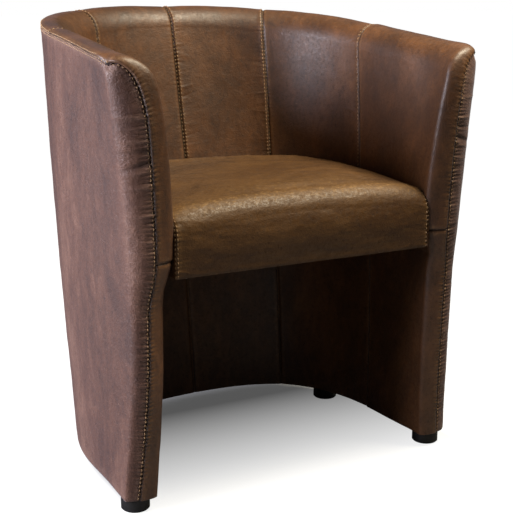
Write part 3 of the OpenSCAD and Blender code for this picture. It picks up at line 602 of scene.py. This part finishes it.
class Nodes:
    """A short way to build a node tree. An input is a value or another node's output."""

    def __init__(self, tree):
        self.tree = tree

    def put(self, node, inputs):
        for key, value in inputs.items():
            socket = node.inputs[key.replace("_", " ") if isinstance(key, str) else key]
            if isinstance(value, bpy.types.NodeSocket):
                self.tree.links.new(value, socket)
            else:
                socket.default_value = value
        return node

    def add(self, kind, **inputs):
        return self.put(self.tree.nodes.new("ShaderNode" + kind), inputs)

    def coords(self, scale=(1, 1, 1)):
        place = self.add("TexCoord").outputs["Object"]
        return self.add("Mapping", Vector=place, Scale=scale).outputs["Vector"]

    def noise(self, vector, scale, detail=4.0, rough=0.55, warp=0.0):
        return self.add("TexNoise", Vector=vector, Scale=scale, Detail=detail, Roughness=rough,
                        Distortion=warp).outputs["Fac"]

    def cells(self, vector, scale):
        return self.add("TexVoronoi", Vector=vector, Scale=scale).outputs["Distance"]

    def ramp(self, value, stops):
        node = self.add("ValToRGB", Fac=value)
        el = node.color_ramp.elements
        while len(el) < len(stops):
            el.new(0.5)
        for e, (pos, col) in zip(el, stops):
            e.position = pos
            e.color = col if hasattr(col, "__len__") else (col, col, col, 1)
        return node.outputs["Color"]

    def math(self, op, a, b=0.0, clamp=False):
        node = self.add("Math")
        node.operation = op
        node.use_clamp = clamp
        return self.put(node, {0: a, 1: b}).outputs[0]

    def blend(self, fac, a, b, mode="MIX"):
        node = self.add("Mix")
        node.data_type = "RGBA"
        node.blend_type = mode
        return self.put(node, {0: fac, 6: a, 7: b}).outputs[2]

    def attribute(self, name):
        node = self.add("Attribute")
        node.attribute_name = name
        return node.outputs["Fac"]

    def bump(self, height, strength, distance):
        return self.add("Bump", Height=height, Strength=strength, Distance=distance).outputs["Normal"]

    def surface(self, **inputs):
        self.put(self.tree.nodes["Principled BSDF"], inputs)


def new_material(name):
    mat = bpy.data.materials.new(name)
    mat.use_nodes = True
    return mat, Nodes(mat.node_tree)


def leather(name, dark, mid, light, worn_and_highlight, streak, gloss, speck, relief, sheen, coat=0.0):
    """Distressed matt leather: cloudy colour, streaks, specks, lighter worn edges with painted highlight,
    and dark seams with painted shade.
    """
    mat, m = new_material(name)
    co = m.coords()
    long = m.coords(streak)
    cloud = m.noise(long, 8.0, 5.0, 0.62, 0.5)
    patch = m.noise(long, 34.0, 6.0, 0.7, 1.0)
    mottle = m.noise(co, 120.0, 6.0, 0.75, 0.4)
    tone = m.math("ADD", m.math("MULTIPLY", cloud, 0.5), m.math("MULTIPLY", patch, 0.3))
    tone = m.math("ADD", tone, m.math("MULTIPLY", mottle, 0.2))
    base = m.ramp(tone, [(0.38, dark), (0.5, mid), (0.62, light)])
    fine = m.noise(co, 170.0, 6.0, 0.72, 0.3)
    specks = m.ramp(fine, [(0.33, 0.25), (0.45, 1.0)])
    base = m.blend(speck, base, m.blend(1.0, base, specks, "MULTIPLY"))
    flecks = m.noise(co, 135.0, 6.0, 0.78)
    base = m.blend(m.math("MULTIPLY", m.ramp(flecks, [(0.62, 0.0), (0.7, 1.0)]), 0.5), base, worn_and_highlight)
    pale = m.ramp(flecks, [(0.5, 0.0), (0.66, 1.0)])
    # lighter where the leather is worn, and a painted highlight on crests and along the seat's roll
    rub_and_highlight = m.math("MULTIPLY", m.attribute("wear_and_highlight"), m.math("ADD", pale, 0.35), True)
    base = m.blend(rub_and_highlight, base, worn_and_highlight)
    # darker with dirt, and with painted shade in seams, creases and the valleys of gathers
    base = m.blend(m.attribute("dirt_and_shade"), base, tuple(0.15 * v for v in dark[:3]) + (1,))
    grain = m.cells(co, 420.0)
    fold = m.noise(co, 85.0, 8.0, 0.68, 0.7)
    height = m.math("ADD", m.math("MULTIPLY", grain, 0.5), m.math("MULTIPLY", fold, 1.6))
    height = m.math("ADD", height, m.math("MULTIPLY", fine, 0.9))
    rough = m.ramp(fine, [(0.36, gloss + 0.2), (0.6, gloss - 0.1)])
    m.surface(Base_Color=base, Roughness=rough, Specular_IOR_Level=0.5, Sheen_Weight=sheen,
              Sheen_Roughness=0.45, Sheen_Tint=(0.8, 0.8, 1.0, 1.0), Coat_Weight=coat,
              Coat_Roughness=0.42, Normal=m.bump(height, relief, 0.0015))
    return mat


def plain(name, dark, light, scale, rough, grain, metallic=0.0, stretch=(1, 1, 1), depth=0.0004):
    """Two mottled tones with a fine relief, for threads, cloth, wood, foam, plastic and steel."""
    mat, m = new_material(name)
    co = m.coords(stretch)
    tone = m.ramp(m.noise(co, scale, 5.0, 0.6), [(0.35, dark), (0.65, light)])
    height = m.noise(co, grain, 3.0, 0.6)
    shade = m.ramp(m.noise(co, scale * 2.7, 3.0), [(0.3, rough - 0.08), (0.7, min(rough + 0.08, 1))])
    m.surface(Base_Color=tone, Roughness=shade, Metallic=metallic, Normal=m.bump(height, 0.4, depth))
    return mat


OUTER = leather("leather_outer", srgb(70, 45, 34), srgb(100, 67, 51), srgb(132, 96, 77),
                srgb(170, 136, 116), (1, 1, 0.35), 0.54, 0.55, 0.5, 0.26)
INNER = leather("leather_inner", srgb(62, 35, 14), srgb(92, 56, 26), srgb(122, 78, 42),
                srgb(150, 108, 66), (1, 1, 0.5), 0.54, 0.5, 0.34, 0.05, 0.5)
SEAT = leather("leather_seat", srgb(74, 46, 22), srgb(98, 66, 33), srgb(120, 84, 46),
               srgb(164, 124, 74), (0.45, 1, 1), 0.52, 0.5, 0.28, 0.0)
THREAD = plain("thread_tan", srgb(160, 124, 88), srgb(200, 166, 126), 400.0, 0.6, 2500.0)
BLACK = plain("foot_plastic", srgb(16, 15, 15), srgb(30, 28, 27), 60.0, 0.5, 900.0, depth=0.0002)
CLOTH = plain("black_cloth", srgb(14, 13, 13), srgb(26, 25, 24), 300.0, 0.95, 1500.0)
FOAM = plain("foam", srgb(206, 196, 158), srgb(228, 220, 184), 60.0, 0.9, 700.0)
FELT = plain("felt", srgb(74, 70, 66), srgb(104, 98, 90), 240.0, 1.0, 900.0)
WOOD = plain("softwood", srgb(186, 148, 98), srgb(214, 180, 130), 26.0, 0.6, 200.0, stretch=(1, 1, 0.12))
PLY = plain("plywood", srgb(168, 126, 78), srgb(202, 160, 110), 22.0, 0.6, 160.0, stretch=(0.3, 1, 6))
BOARD = plain("hardboard", srgb(98, 68, 44), srgb(132, 96, 64), 90.0, 0.55, 1200.0)
STEEL = plain("steel", srgb(150, 152, 156), srgb(190, 192, 196), 80.0, 0.35, 900.0, metallic=1.0)


# ---- the shell's covers
def border(grid, nrm, where):
    """A grid's edge as a seam: first or last row or column."""
    pick = {"top": (-1, slice(None)), "low": (0, slice(None)),
            "right": (slice(None), -1), "left": (slice(None), 0)}[where]
    return Seam(grid[pick], nrm[pick])


outer = outer_grid()
outer_n = soft_normals(outer, facing(outer, (60, outer.shape[1] // 2), (0, 1, 0)))
seam_left, seam_right = (border(outer, outer_n, where) for where in ("left", "right"))
rim_cols = slice(CAP_COLS, outer.shape[1] - CAP_COLS)
seam_rim = Seam(outer[-1, rim_cols], outer_n[-1, rim_cols])

# wrinkles seen beside the front seam: height, half width, size, reach, slope
WRINKLES = [(622, 2.9, 1.3, 40, 0.05), (606, 2.4, 0.7, 24, 0.0), (589, 3.0, 1.4, 27, 0.02),
            (576, 2.8, -1.7, 29, -0.1), (560, 3.3, -2.6, 31, -0.33), (548, 3.4, 1.5, 28, -0.25),
            (523, 2.8, 1.2, 27, -0.1), (509, 2.6, -0.9, 20, -0.1), (481, 3.0, 1.1, 25, -0.15),
            (470, 2.4, -0.8, 15, -0.1), (438, 2.8, 0.9, 18, 0.1), (402, 3.0, -0.9, 21, 0.15),
            (371, 2.6, 0.8, 15, 0.0), (344, 3.0, -0.8, 18, 0.1), (318, 2.5, 0.9, 14, 0.0),
            (299, 3.0, -0.8, 17, 0.1), (262, 2.6, 0.6, 14, 0.0), (214, 3.0, 0.8, 16, 0.1),
            (171, 2.6, -0.6, 13, 0.0), (128, 3.0, 0.7, 15, 0.1)]


def outer_relief():
    amount = 0.9 * field(outer, 130, 1) + 0.3 * field(outer, 34, 2)
    dirt_and_shade = np.zeros(amount.shape)
    wear_and_highlight = np.zeros(amount.shape)
    for j, seam in enumerate((seam_left, seam_right)):
        d, s = seam.near(outer)
        wave = puckers(d, s, 1.05, 12.0, seed=1.1 + j) * ends(seam, s)
        amount += edge(d, 1.25, 1.6) + wave + puckers(d, s, 0.5, 17, 17.0, 2.7 + j) * ends(seam, s)
        dark, pale = marks(wave, 0.85, d, 12.0)
        for z, width, size, reach, slope in WRINKLES:
            place = z + 5 * j + slope * d
            fold = size * np.exp(-((outer[..., 2] - place) / width) ** 2) * np.exp(-(d / reach) ** 2)
            amount += fold
            # painted shade in the wrinkles' valleys and painted highlight on their crests
            dark = np.maximum(dark, np.clip(-0.35 * fold, 0, 0.7))
            pale = np.maximum(pale, np.clip(0.4 * fold, 0, 0.7))
        # a dark line in the seam: dirt and painted shade
        dirt_and_shade = np.maximum(dirt_and_shade, np.maximum(0.75 * np.exp(-(d / 1.2) ** 2), 0.8 * dark))
        wear_and_highlight = np.maximum(wear_and_highlight, np.maximum(0.4 * np.exp(-((d - 6) / 5) ** 2), pale))
    d, s = seam_rim.near(outer)
    wave = puckers(d, s, 0.3, 7, 8.0, 0.4)
    amount += edge(d, 1.5, 1.8) + wave
    dark, pale = marks(wave, 0.3, d, 6.0)
    # the rim seam: a dark line of dirt and painted shade, and painted shade and highlight on its gathers
    dirt_and_shade = np.maximum(dirt_and_shade, np.maximum(0.8 * np.exp(-(d / 1.3) ** 2), 0.4 * dark))
    wear_and_highlight = np.maximum(wear_and_highlight, 0.5 * np.exp(-(d / 9) ** 2) + 0.3 * pale)
    low = outer[..., 2] - SHELL_Z
    amount -= 1.3 * np.exp(-(low / 3.0) ** 2)
    wear_and_highlight = np.maximum(wear_and_highlight, 0.35 * np.exp(-(low / 14) ** 2))
    return amount, dirt_and_shade, np.clip(wear_and_highlight, 0, 1)


cover_piece("outer_shell", "outer_cover", outer, outer_n, outer_relief(), OUTER)


def pillow(grid, u, size):
    """A little more height in the middle of a panel than along its seams."""
    return size * (1 - np.abs(2 * u - 1) ** 2.6) * np.ones(grid.shape[:2])


def panel_relief(grid, seams, u, seed):
    """Height, dirt with painted shade, and wear with painted highlight of an inner panel whose seams are
    given with their kinds.
    """
    amount = pillow(grid, u, 2.2) + 0.8 * field(grid, 105, seed) + 0.22 * field(grid, 30, seed + 5)
    dirt_and_shade = np.zeros(amount.shape)
    wear_and_highlight = np.zeros(amount.shape)
    for j, (seam, kind) in enumerate(seams):
        d, s = seam.near(grid)
        if kind == "stitched":
            amount += edge(d, 1.9, 1.6) + 0.6 * np.exp(-((d - 4.4) / 2.4) ** 2)
            wave = puckers(d, s, 0.4, 9, 7.0, seed + j)
            amount += tucks(d, s, 0.8, int(10 * seed + j)) * ends(seam, s)
        elif kind == "plain":
            amount += -1.8 * np.exp(-(d / 2.4) ** 2)
            wave = puckers(d, s, 0.22, 9, 8.0, seed + j)
        else:
            amount += edge(d, 1.25, 1.6) + puckers(d, s, 0.35, 12, 15.0, seed) * ends(seam, s)
            wave = puckers(d, s, 0.8, 6.5, seed=seed + j)
            amount += 0.4 * np.exp(-((d - 2.6) / 1.3) ** 2)
            wear_and_highlight = np.maximum(wear_and_highlight, 0.3 * np.exp(-((d - 2.6) / 1.5) ** 2))
        wave = wave * ends(seam, s)
        amount += wave
        dark, pale = marks(wave, 0.6, d, 8.0)
        # dark seam lines and valleys: dirt and painted shade; lighter crests: painted highlight
        dirt_and_shade = np.maximum(dirt_and_shade, np.maximum(0.9 * np.exp(-(d / 1.4) ** 2), 0.7 * dark))
        wear_and_highlight = np.maximum(wear_and_highlight, np.maximum(0.45 * np.exp(-((d - 5) / 3.5) ** 2), pale))
    return amount, dirt_and_shade, wear_and_highlight


PANEL_COLS, ARM_COLS = 58, 40
panel_cols = graded(PANEL_COLS)
# the wall of an arm panel has close columns at its seam alone, and its nose has columns of its own
arm_cols = panel_cols[:ARM_COLS + 1] / panel_cols[ARM_COLS]
k_nose = late(26, 0.55)
rows_i = inner_rows(ROW_STEP + 0.2)
low_z = np.linspace(SHELL_Z, SHORT_Z - GAP, 300)
ridge_wear = 0.12 * np.exp(-((rows_i - 8.2) / 1.3) ** 2)[:, None]


def add_panel(name, node, grid, kinds, u, seed, ridge):
    """One inner panel. kinds gives what kind of seam each of its edges is."""
    r, c = grid.shape[0] // 3, grid.shape[1] // 2
    inward = (-grid[r, c, 0], -grid[r, c, 1] - 200, 0)
    nrm = soft_normals(grid, facing(grid, (r, c), inward))
    seams = [(border(grid, nrm, where), kind) for where, kind in kinds]
    amount, dirt_and_shade, wear_and_highlight = panel_relief(grid, seams, u, seed)
    cover_piece(name, node, grid, nrm, (amount, dirt_and_shade, np.maximum(wear_and_highlight, ridge)), INNER)
    return [seam for seam, _ in seams]


seam_of = {}
for low in (False, True):
    rows, profile = (low_z, lining_profile) if low else (rows_i, side_profile)
    nose_seam = (lambda z: nose_point(z, False)) if low else seam_row
    for side, sign in SIDES:
        # which edge of a grid lies towards the middle of the back
        inward, outward = ("left", "right") if sign > 0 else ("right", "left")
        for a, part in enumerate(("back", "shoulder", "arm")):
            if part == "arm":
                grid, u, seed = arm_grid(rows, arm_cols, k_nose, profile, nose_seam), 0.5, 26 if low else 8
            else:
                grid, u, seed = panel_grid(a, rows, panel_cols, profile), panel_cols, (20 if low else 3) + a
            middle_kind = "stitched" if (part, side, low) == ("back", "right", False) else "plain"
            far_kind = "front" if part == "arm" else "plain" if low else "stitched"
            kinds = [(inward, middle_kind), (outward, far_kind), ("top", "plain"), ("low", "plain")]
            kind = "lining" if low else "cover"
            name = f"{part}_lining_panel_{side}" if low else f"{part}_panel_{side}"
            seam_of[part, side, low] = add_panel(
                name, f"{part}_{kind}_{side}", grid if sign > 0 else mirrored(grid),
                kinds[:3] if low else kinds, u, seed + sign, 0.0 if low else ridge_wear)


# ---- seat
SEAT_FRONT = -CHAIR_D / 2 + SEAT_SET
EDGE_DROP = 8.0  # how much lower the seat's top lies along its side seams


def seat_grid(rows, u):
    """Top panel of the seat, from its lower front edge up over the roll and back to the rear edge."""
    c = u * SEAT_P
    end = wall(c, SHORT_Z + TUCK_H, seat_pad(c) + SEAT_CLEAR)
    half, front = SEAT_W / 2, SEAT_FRONT
    top = SEAT_H + SEAT_CROWN * (1 - np.abs(u) ** 2.4) - EDGE_DROP * np.abs(u) ** 10
    out = []
    for k in rows:
        if k < 1:
            x, y = u * half, np.full(len(u), front)
            z = mix(SEAT_Z, top - SEAT_ROLL, k)
        elif k < 2:
            a = math.pi / 2 * (k - 1)
            x = u * half
            y = np.full(len(u), front + SEAT_ROLL * (1 - math.cos(a)))
            z = top - SEAT_ROLL + SEAT_ROLL * math.sin(a)
        else:
            s = k - 2
            x = mix(u * half, end[:, 0], s)
            y = mix(front + SEAT_ROLL, end[:, 1], s)
            z = top - 2.2 * s ** 6
        out.append(np.stack([x, y, z], -1))
    return np.array(out)


def border_grid(rows, sign):
    """Side of the seat, from its front corner to the middle of the rear."""
    half, front = SEAT_W / 2, SEAT_FRONT
    a = np.radians(np.linspace(0, 90, 14))
    run = np.linspace(0, 1, 40)[1:]
    c = np.concatenate([np.full(len(run), SEAT_P), np.linspace(SEAT_P, GAP / SIDE_TOP, 150)[1:]])
    end = wall(c, SHORT_Z + TUCK_H, seat_pad(c) + SEAT_CLEAR)
    rear = end[len(run):]
    xs = np.concatenate([np.full(len(a), half), mix(half, end[0, 0], run), rear[:, 0]])
    ys = np.concatenate([front + SEAT_ROLL * (1 - np.cos(a)),
                         mix(front + SEAT_ROLL, end[0, 1], run), rear[:, 1]])
    tops = np.full(len(xs), SEAT_H - EDGE_DROP)
    tops[:len(a)] -= SEAT_ROLL * (1 - np.sin(a))
    return np.array([np.stack([xs * sign, ys, mix(SEAT_Z, tops, r)], -1) for r in rows])


seat_cols = 2 * graded(150, 0.72) - 1
seat_rows = np.concatenate([np.linspace(0, 1, 50)[:-1], np.linspace(1, 2, 48)[:-1], 2 + late(240, 0.3)])
seat = seat_grid(seat_rows, seat_cols)
seat_n = facing(seat, (-40, 75), (0, 0, 1))
seat_seams = [border(seat, seat_n, w) for w in ("left", "right", "top")]


SEAT_SINK = 1.6  # how far the seat's leather may be drawn in above its foam


def seat_relief():
    amount = field(seat, 120, 31) + 0.3 * field(seat, 34, 32)
    wear_and_highlight = np.zeros(amount.shape)
    y, z = seat[..., 1], seat[..., 2]
    creases = field(seat * np.array([0.3, 1, 1]), 8.0, 33)
    back = np.clip((y + 110) / 170, 0, 1)
    amount += (0.25 + 0.75 * back) * creases + 0.35 * field(seat * np.array([0.4, 1, 1]), 17.0, 35)
    # painted shade in the valleys of the creases, most towards the back
    dirt_and_shade = np.clip(-0.5 * creases * (0.3 + back), 0, 0.4)
    for j, seam in enumerate(seat_seams):
        d, s = seam.near(seat)
        wave = puckers(d, s, 0.4, 7.5, seed=4.0 + j)
        amount += edge(d, 1.6, 1.8) + wave + tucks(d, s, 1.0, 71 + j)
        amount += -1.2 * np.exp(-(d / 9.0)) * (j < 2)
        # a dark line in the seams: dirt and painted shade
        dirt_and_shade = np.maximum(dirt_and_shade, 0.85 * np.exp(-(d / 1.5) ** 2))
        wear_and_highlight = np.maximum(wear_and_highlight, 0.4 * np.exp(-((d - 5) / 4) ** 2) + 0.3 * marks(wave, 0.4, d, 7.0)[1])
    roll = np.exp(-((seat_rows - 1.75) / 0.33) ** 2)[:, None]
    # a painted highlight along the seat's front roll, carried with the wear
    wear_and_highlight = np.maximum(wear_and_highlight, 0.75 * roll)
    low = np.exp(-((z - SEAT_Z) / 3.0) ** 2) * (y < -240)
    amount -= 1.2 * low
    return np.maximum(amount, -SEAT_SINK), dirt_and_shade, wear_and_highlight


def seat_body():
    """A closed, slightly smaller cushion for the simulation: the seat's panel and a flat underside."""
    cols = np.linspace(-1, 1, 60)
    rows = np.concatenate([np.linspace(0, 1, 14)[:-1], np.linspace(1, 2, 10)[:-1], np.linspace(2, 3, 50)])
    top = seat_grid(rows, cols) * np.array([0.992, 1, 1]) + np.array([0, 1.5, -1.5])
    under = top.copy()
    under[..., 2] = SEAT_Z + 2
    # the rows of the front and the roll have their underside behind the front
    rolled = 24
    under[:rolled, :, 1] = top[0, 0, 1] + np.linspace(6, SEAT_ROLL + 6, rolled)[:, None]
    return new_mesh("seat_swell", *slab(top, under), None)


VOXEL = 0.006
HELD = 0.03, 0.02  # width of the held band at the rear and at the sides, in metres
SWELL_FRAMES, SWELL_MOST = 20, 6.0
PRESSURE = {"vertex_group_mass": "held", "use_pressure": True, "uniform_pressure_force": 4.0,
            "tension_stiffness": 12.0, "compression_stiffness": 12.0, "bending_stiffness": 0.3, "quality": 5}


def evaluated(ob):
    return bpy.data.meshes.new_from_object(ob.evaluated_get(bpy.context.evaluated_depsgraph_get()))


def seat_swell():
    """How far the seat's leather moves out under pressure, for every point of the seat's grid."""
    ob = seat_body()
    remesh = ob.modifiers.new("remesh", "REMESH")
    remesh.mode = "VOXEL"
    remesh.voxel_size = VOXEL
    mesh = evaluated(ob)
    ob.modifiers.clear()
    ob.data = mesh
    rest = np.array([v.co[:] for v in mesh.vertices])
    fixed = (rest[:, 2] < (SEAT_Z + 12) * MM) | (rest[:, 1] > rest[:, 1].max() - HELD[0])
    fixed |= (np.abs(rest[:, 0]) > SEAT_W / 2 * MM - HELD[1]) & (rest[:, 2] < (SEAT_H - 14) * MM)
    group = ob.vertex_groups.new(name="held")
    group.add(np.nonzero(fixed)[0].tolist(), 1.0, "REPLACE")
    cloth = ob.modifiers.new("cloth", "CLOTH")
    for key, value in PRESSURE.items():
        setattr(cloth.settings, key, value)
    cloth.settings.effector_weights.gravity = 0.0
    cloth.point_cache.frame_start, cloth.point_cache.frame_end = 1, SWELL_FRAMES
    for frame_no in range(1, SWELL_FRAMES + 1):
        bpy.context.scene.frame_set(frame_no)
    move = np.array([v.co[:] for v in evaluated(ob).vertices]) - rest
    bpy.data.objects.remove(ob)
    bpy.context.scene.frame_set(1)
    tree = KDTree(len(rest))
    for i, p in enumerate(rest):
        tree.insert(p, i)
    tree.balance()
    out = np.zeros(seat.shape[:2])
    for i in range(seat.shape[0]):
        for j in range(seat.shape[1]):
            found = tree.find_n(seat[i, j] * MM, 5)
            share = np.array([1 / (f[2] + 0.002) ** 2 for f in found])
            vector = (move[[f[1] for f in found]] * share[:, None]).sum(0) / share.sum()
            out[i, j] = vector.dot(seat_n[i, j]) / MM
    return blurred(np.clip(out, 0.0, SWELL_MOST)[..., None], 3)[..., 0]


amount, dirt_and_shade, wear_and_highlight = seat_relief()
amount = amount + seat_swell()
cover_piece("seat_top_panel", "seat_cover", seat, seat_n, (amount, dirt_and_shade, wear_and_highlight), SEAT, INSIDE - 0.4)
for side, sign in SIDES:
    grid = border_grid(np.linspace(0, 1, 40), sign)
    nrm = facing(grid, (20, 60), (sign, 0, 0))
    d, s = border(grid, nrm, "top").near(grid)
    amount = 0.3 * field(grid, 90, 40 + sign) + 0.8 * edge(d, 1.2, 1.6)
    # a dark line along the top seam: dirt and painted shade
    cover_piece(f"seat_side_panel_{side}", f"seat_border_{side}", grid, nrm,
                (amount, 0.85 * np.exp(-(d / 1.5) ** 2), 0 * d), SEAT, 1.2)

# ---- stitches
OUTER_OFF, INNER_OFF, SEAT_OFF = 3.4, 4.4, 3.6  # from a seam to the stitches beside it
lines = {"front": [], "rim": [], "inner": [], "seat": []}
tree = surface_of(pieces["outer_shell"])
for seam in (seam_left, seam_right):
    lines["front"] += [offset_line(seam, out, OUTER_OFF, tree) for out in (-1, 1)]
rim_lines = [offset_line(seam_rim, out, OUTER_OFF, tree) for out in (-1, 1)]
for (part, side, low), seams in seam_of.items():
    if low:
        continue
    tree = surface_of(pieces[f"{part}_panel_{side}"])
    for out in (-1, 1):
        if part != "arm":
            lines["inner"].append(offset_line(seams[1], out, INNER_OFF, tree))
        if (part, side) == ("back", "right"):
            lines["inner"].append(offset_line(seams[0], out, INNER_OFF, tree))
        lines["rim"].append(offset_line(seams[2], out, OUTER_OFF, tree))
lines["rim"] += rim_lines
tree = surface_of(pieces["seat_top_panel"])
lines["seat"] = [offset_line(seam, out, SEAT_OFF, tree, stop=6.0)
                 for out in (-1, 1) for seam in seat_seams[:2]]
for key, rows in lines.items():
    pieces[f"stitches_{key}"] = stitches(f"stitches_{key}", rows)

# ---- padding and cloth inside the shell and the seat
COPY_EDGE = 24.0  # longest edge that a copy keeps before it is divided once more


def copied(node, material, wave, seed, inset=0.0):
    """A piece with a CAD node's form, divided finely and with a little of its material's unevenness."""
    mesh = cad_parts[node].data.copy()
    mesh.materials.clear()
    mesh.materials.append(material)
    ob = bpy.data.objects.new(node + "_piece", mesh)
    bpy.context.scene.collection.objects.link(ob)
    bm = bmesh.new()
    bm.from_mesh(mesh)
    bmesh.ops.remove_doubles(bm, verts=bm.verts, dist=1e-6)
    for _ in range(3):
        long = [e for e in bm.edges if e.calc_length() > COPY_EDGE * MM]
        bmesh.ops.subdivide_edges(bm, edges=long, cuts=1, use_grid_fill=True)
        bmesh.ops.triangulate(bm, faces=[f for f in bm.faces if len(f.verts) > 4])
    bm.normal_update()
    for v in bm.verts:
        uneven = noise.fractal(v.co / (3 * COPY_EDGE * MM) + Vector((seed, 0, 0)), 0.9, 2.1, 2)
        v.co += v.normal * MM * (wave * uneven - inset)
    bm.to_mesh(mesh)
    bm.free()
    mesh.polygons.foreach_set("use_smooth", [False] * len(mesh.polygons))
    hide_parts(node)
    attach(ob, "root")
    return ob


for i, node in enumerate(("outer_wadding", "inner_foam", "rim_padding", "arm_foam_left", "arm_foam_right",
                          "seat_foam", "seat_felt")):
    if node == "seat_felt":
        pad = copied(node, FELT, 0.12, 3.0 * i)
    else:
        pad = copied(node, FOAM, 0.12, 3.0 * i, PAD_INSET)
middle_p = np.linspace(-3, 3, 160)
middle = wall(middle_p, SHELL_Z, 0.5 * wall_t(np.abs(middle_p), SHELL_Z))[:, :2] * MM
for i, (node, rests) in enumerate((("bottom_strip", "base_rail"), ("seat_dust_cloth", "seat_frame"))):
    cloth = copied(node, CLOTH, 0.1, 30.0 + i)
    if node == "bottom_strip":
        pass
    else:
        low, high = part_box(node)

# ---- CAD nodes that keep their shape
looks = {"board": BOARD, "rail": PLY, "post": WOOD, "batten": WOOD, "foam": FOAM, "wadding": FOAM,
         "padding": FOAM, "felt": FELT, "cloth": CLOTH, "strip": CLOTH, "screws": STEEL, "springs": STEEL,
         "clips": STEEL, "seat_frame": PLY, "foot_": BLACK}
for name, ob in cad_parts.items():
    mat = next((m for key, m in looks.items() if key in name), None)
    if mat is not None:
        for i in range(len(ob.data.materials)):
            ob.data.materials[i] = mat
        if not ob.data.materials:
            ob.data.materials.append(mat)

for name, ob in pieces.items():
    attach(ob, "root")

# ---- camera, floor and light
cam = bpy.data.cameras.new("photo_camera")
cam.sensor_width = 36.0
cam.lens = 76.39
cam.shift_x, cam.shift_y = 0.0470, -0.0546
cam_ob = bpy.data.objects.new("photo_camera", cam)
right = Vector((0.8807, -0.4736, -0.0019)).normalized()
back = Vector((-0.4635, -0.8627, 0.2025)).normalized()
up = back.cross(right).normalized()
right = up.cross(back)
cam_ob.matrix_world = Matrix(((right.x, up.x, back.x, -0.9093), (right.y, up.y, back.y, -1.7064),
                              (right.z, up.z, back.z, 0.7823), (0, 0, 0, 1)))
bpy.context.scene.collection.objects.link(cam_ob)
bpy.context.scene.camera = cam_ob


def area_light(name, place, aim, size, power, color=(1, 1, 1), size_y=None):
    data = bpy.data.lights.new(name, "AREA")
    data.energy = power
    data.color = color
    data.size = size
    if size_y:
        data.shape = "RECTANGLE"
        data.size_y = size_y
    ob = bpy.data.objects.new(name, data)
    ob.location = place
    ob.rotation_euler = (Vector(aim) - Vector(place)).to_track_quat("-Z", "Y").to_euler()
    bpy.context.scene.collection.objects.link(ob)


area_light("window_left", (-2.5, 0.25, 1.1), (0, 0, 0.5), 2.0, 122, (0.87, 0.87, 1.0), 1.1)
area_light("lamp_above", (0.85, -0.6, 2.35), (-0.05, 0.05, 0.5), 0.7, 58, (1.0, 0.91, 0.70))

world = bpy.data.worlds.new("studio")
bpy.context.scene.world = world
world.use_nodes = True
sky = Nodes(world.node_tree)
sky.tree.nodes.clear()
seen = sky.add("LightPath").outputs["Is Camera Ray"]
dim = sky.add("Background", Color=(1.0, 0.93, 0.86, 1), Strength=0.035).outputs[0]
white = sky.add("Background", Color=(1, 1, 1, 1), Strength=1.0).outputs[0]
sky.add("OutputWorld", Surface=sky.put(sky.add("MixShader"), {0: seen, 1: dim, 2: white}).outputs[0])


def floor_material(name, fade=None):
    """White to the camera. fade gives where along y it shows a painted shadow, by less white to the camera:
    start, end, least white.
    """
    mat, m = new_material(name)
    m.tree.nodes.clear()
    shown = 1.0
    if fade:
        y = m.add("SeparateXYZ", Vector=m.add("TexCoord").outputs["Object"]).outputs["Y"]
        ramp = m.add("MapRange", Value=y, From_Min=fade[0], From_Max=fade[1], To_Min=1.0, To_Max=fade[2])
        shown = m.math("MAXIMUM", ramp.outputs["Result"], m.attribute("fade"))
    glow = m.math("MULTIPLY", m.add("LightPath").outputs["Is Camera Ray"], shown)
    both = m.put(m.add("AddShader"), {0: m.add("BsdfDiffuse", Color=(0.22, 0.22, 0.22, 1)).outputs[0],
                                      1: m.add("Emission", Color=(1, 1, 1, 1), Strength=glow).outputs[0]})
    m.add("OutputMaterial", Surface=both.outputs[0])
    return mat


FLOOR_R, FLOOR_Z, PATCH_Z, PATCH_FRONT = 70.0, -0.0008, -0.0004, -0.33
square = [(x * FLOOR_R, y * FLOOR_R, FLOOR_Z) for x, y in ((-1, -1), (1, -1), (1, 1), (-1, 1))]
floor = new_mesh("floor", square, [(0, 1, 2, 3)], floor_material("floor_white"), False)
# a painted shadow on the floor under the chair: a patch that shows less white to the camera, darker towards
# the back
patch = middle[2:-2].copy()
# further out on the side where the camera sees under the wall's raised edge
patch += np.clip((patch[:, :1] + 0.2) / 0.15, 0, 1) * np.array([0.035, 0.065])
patch = np.array([(patch[0, 0], PATCH_FRONT), *patch.tolist(), (patch[-1, 0], PATCH_FRONT)])
centre = np.array([0.0, -0.1])
rings = np.linspace(0.02, 1.06, 27)
ring_n = len(patch)
points = [(*(centre + k * (p - centre)), PATCH_Z) for k in rings for p in patch]
quads = [(r + i, r + (i + 1) % ring_n, r + ring_n + (i + 1) % ring_n, r + ring_n + i)
         for r in range(0, (len(rings) - 1) * ring_n, ring_n) for i in range(ring_n)]
painted_shadow_floor = new_mesh("floor_in_opening", points, [tuple(range(ring_n)), *quads],
                    floor_material("floor_shade", (-0.31, 0.12, 0.09)), False)
fade = np.repeat(np.clip((rings - 0.9) / 0.16, 0, 1) ** 2, ring_n)
painted_shadow_floor.data.attributes.new("fade", "FLOAT", "POINT").data.foreach_set("value", fade)
floor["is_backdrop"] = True
painted_shadow_floor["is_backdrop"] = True

bpy.context.scene.view_settings.view_transform = "Standard"

low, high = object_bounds()
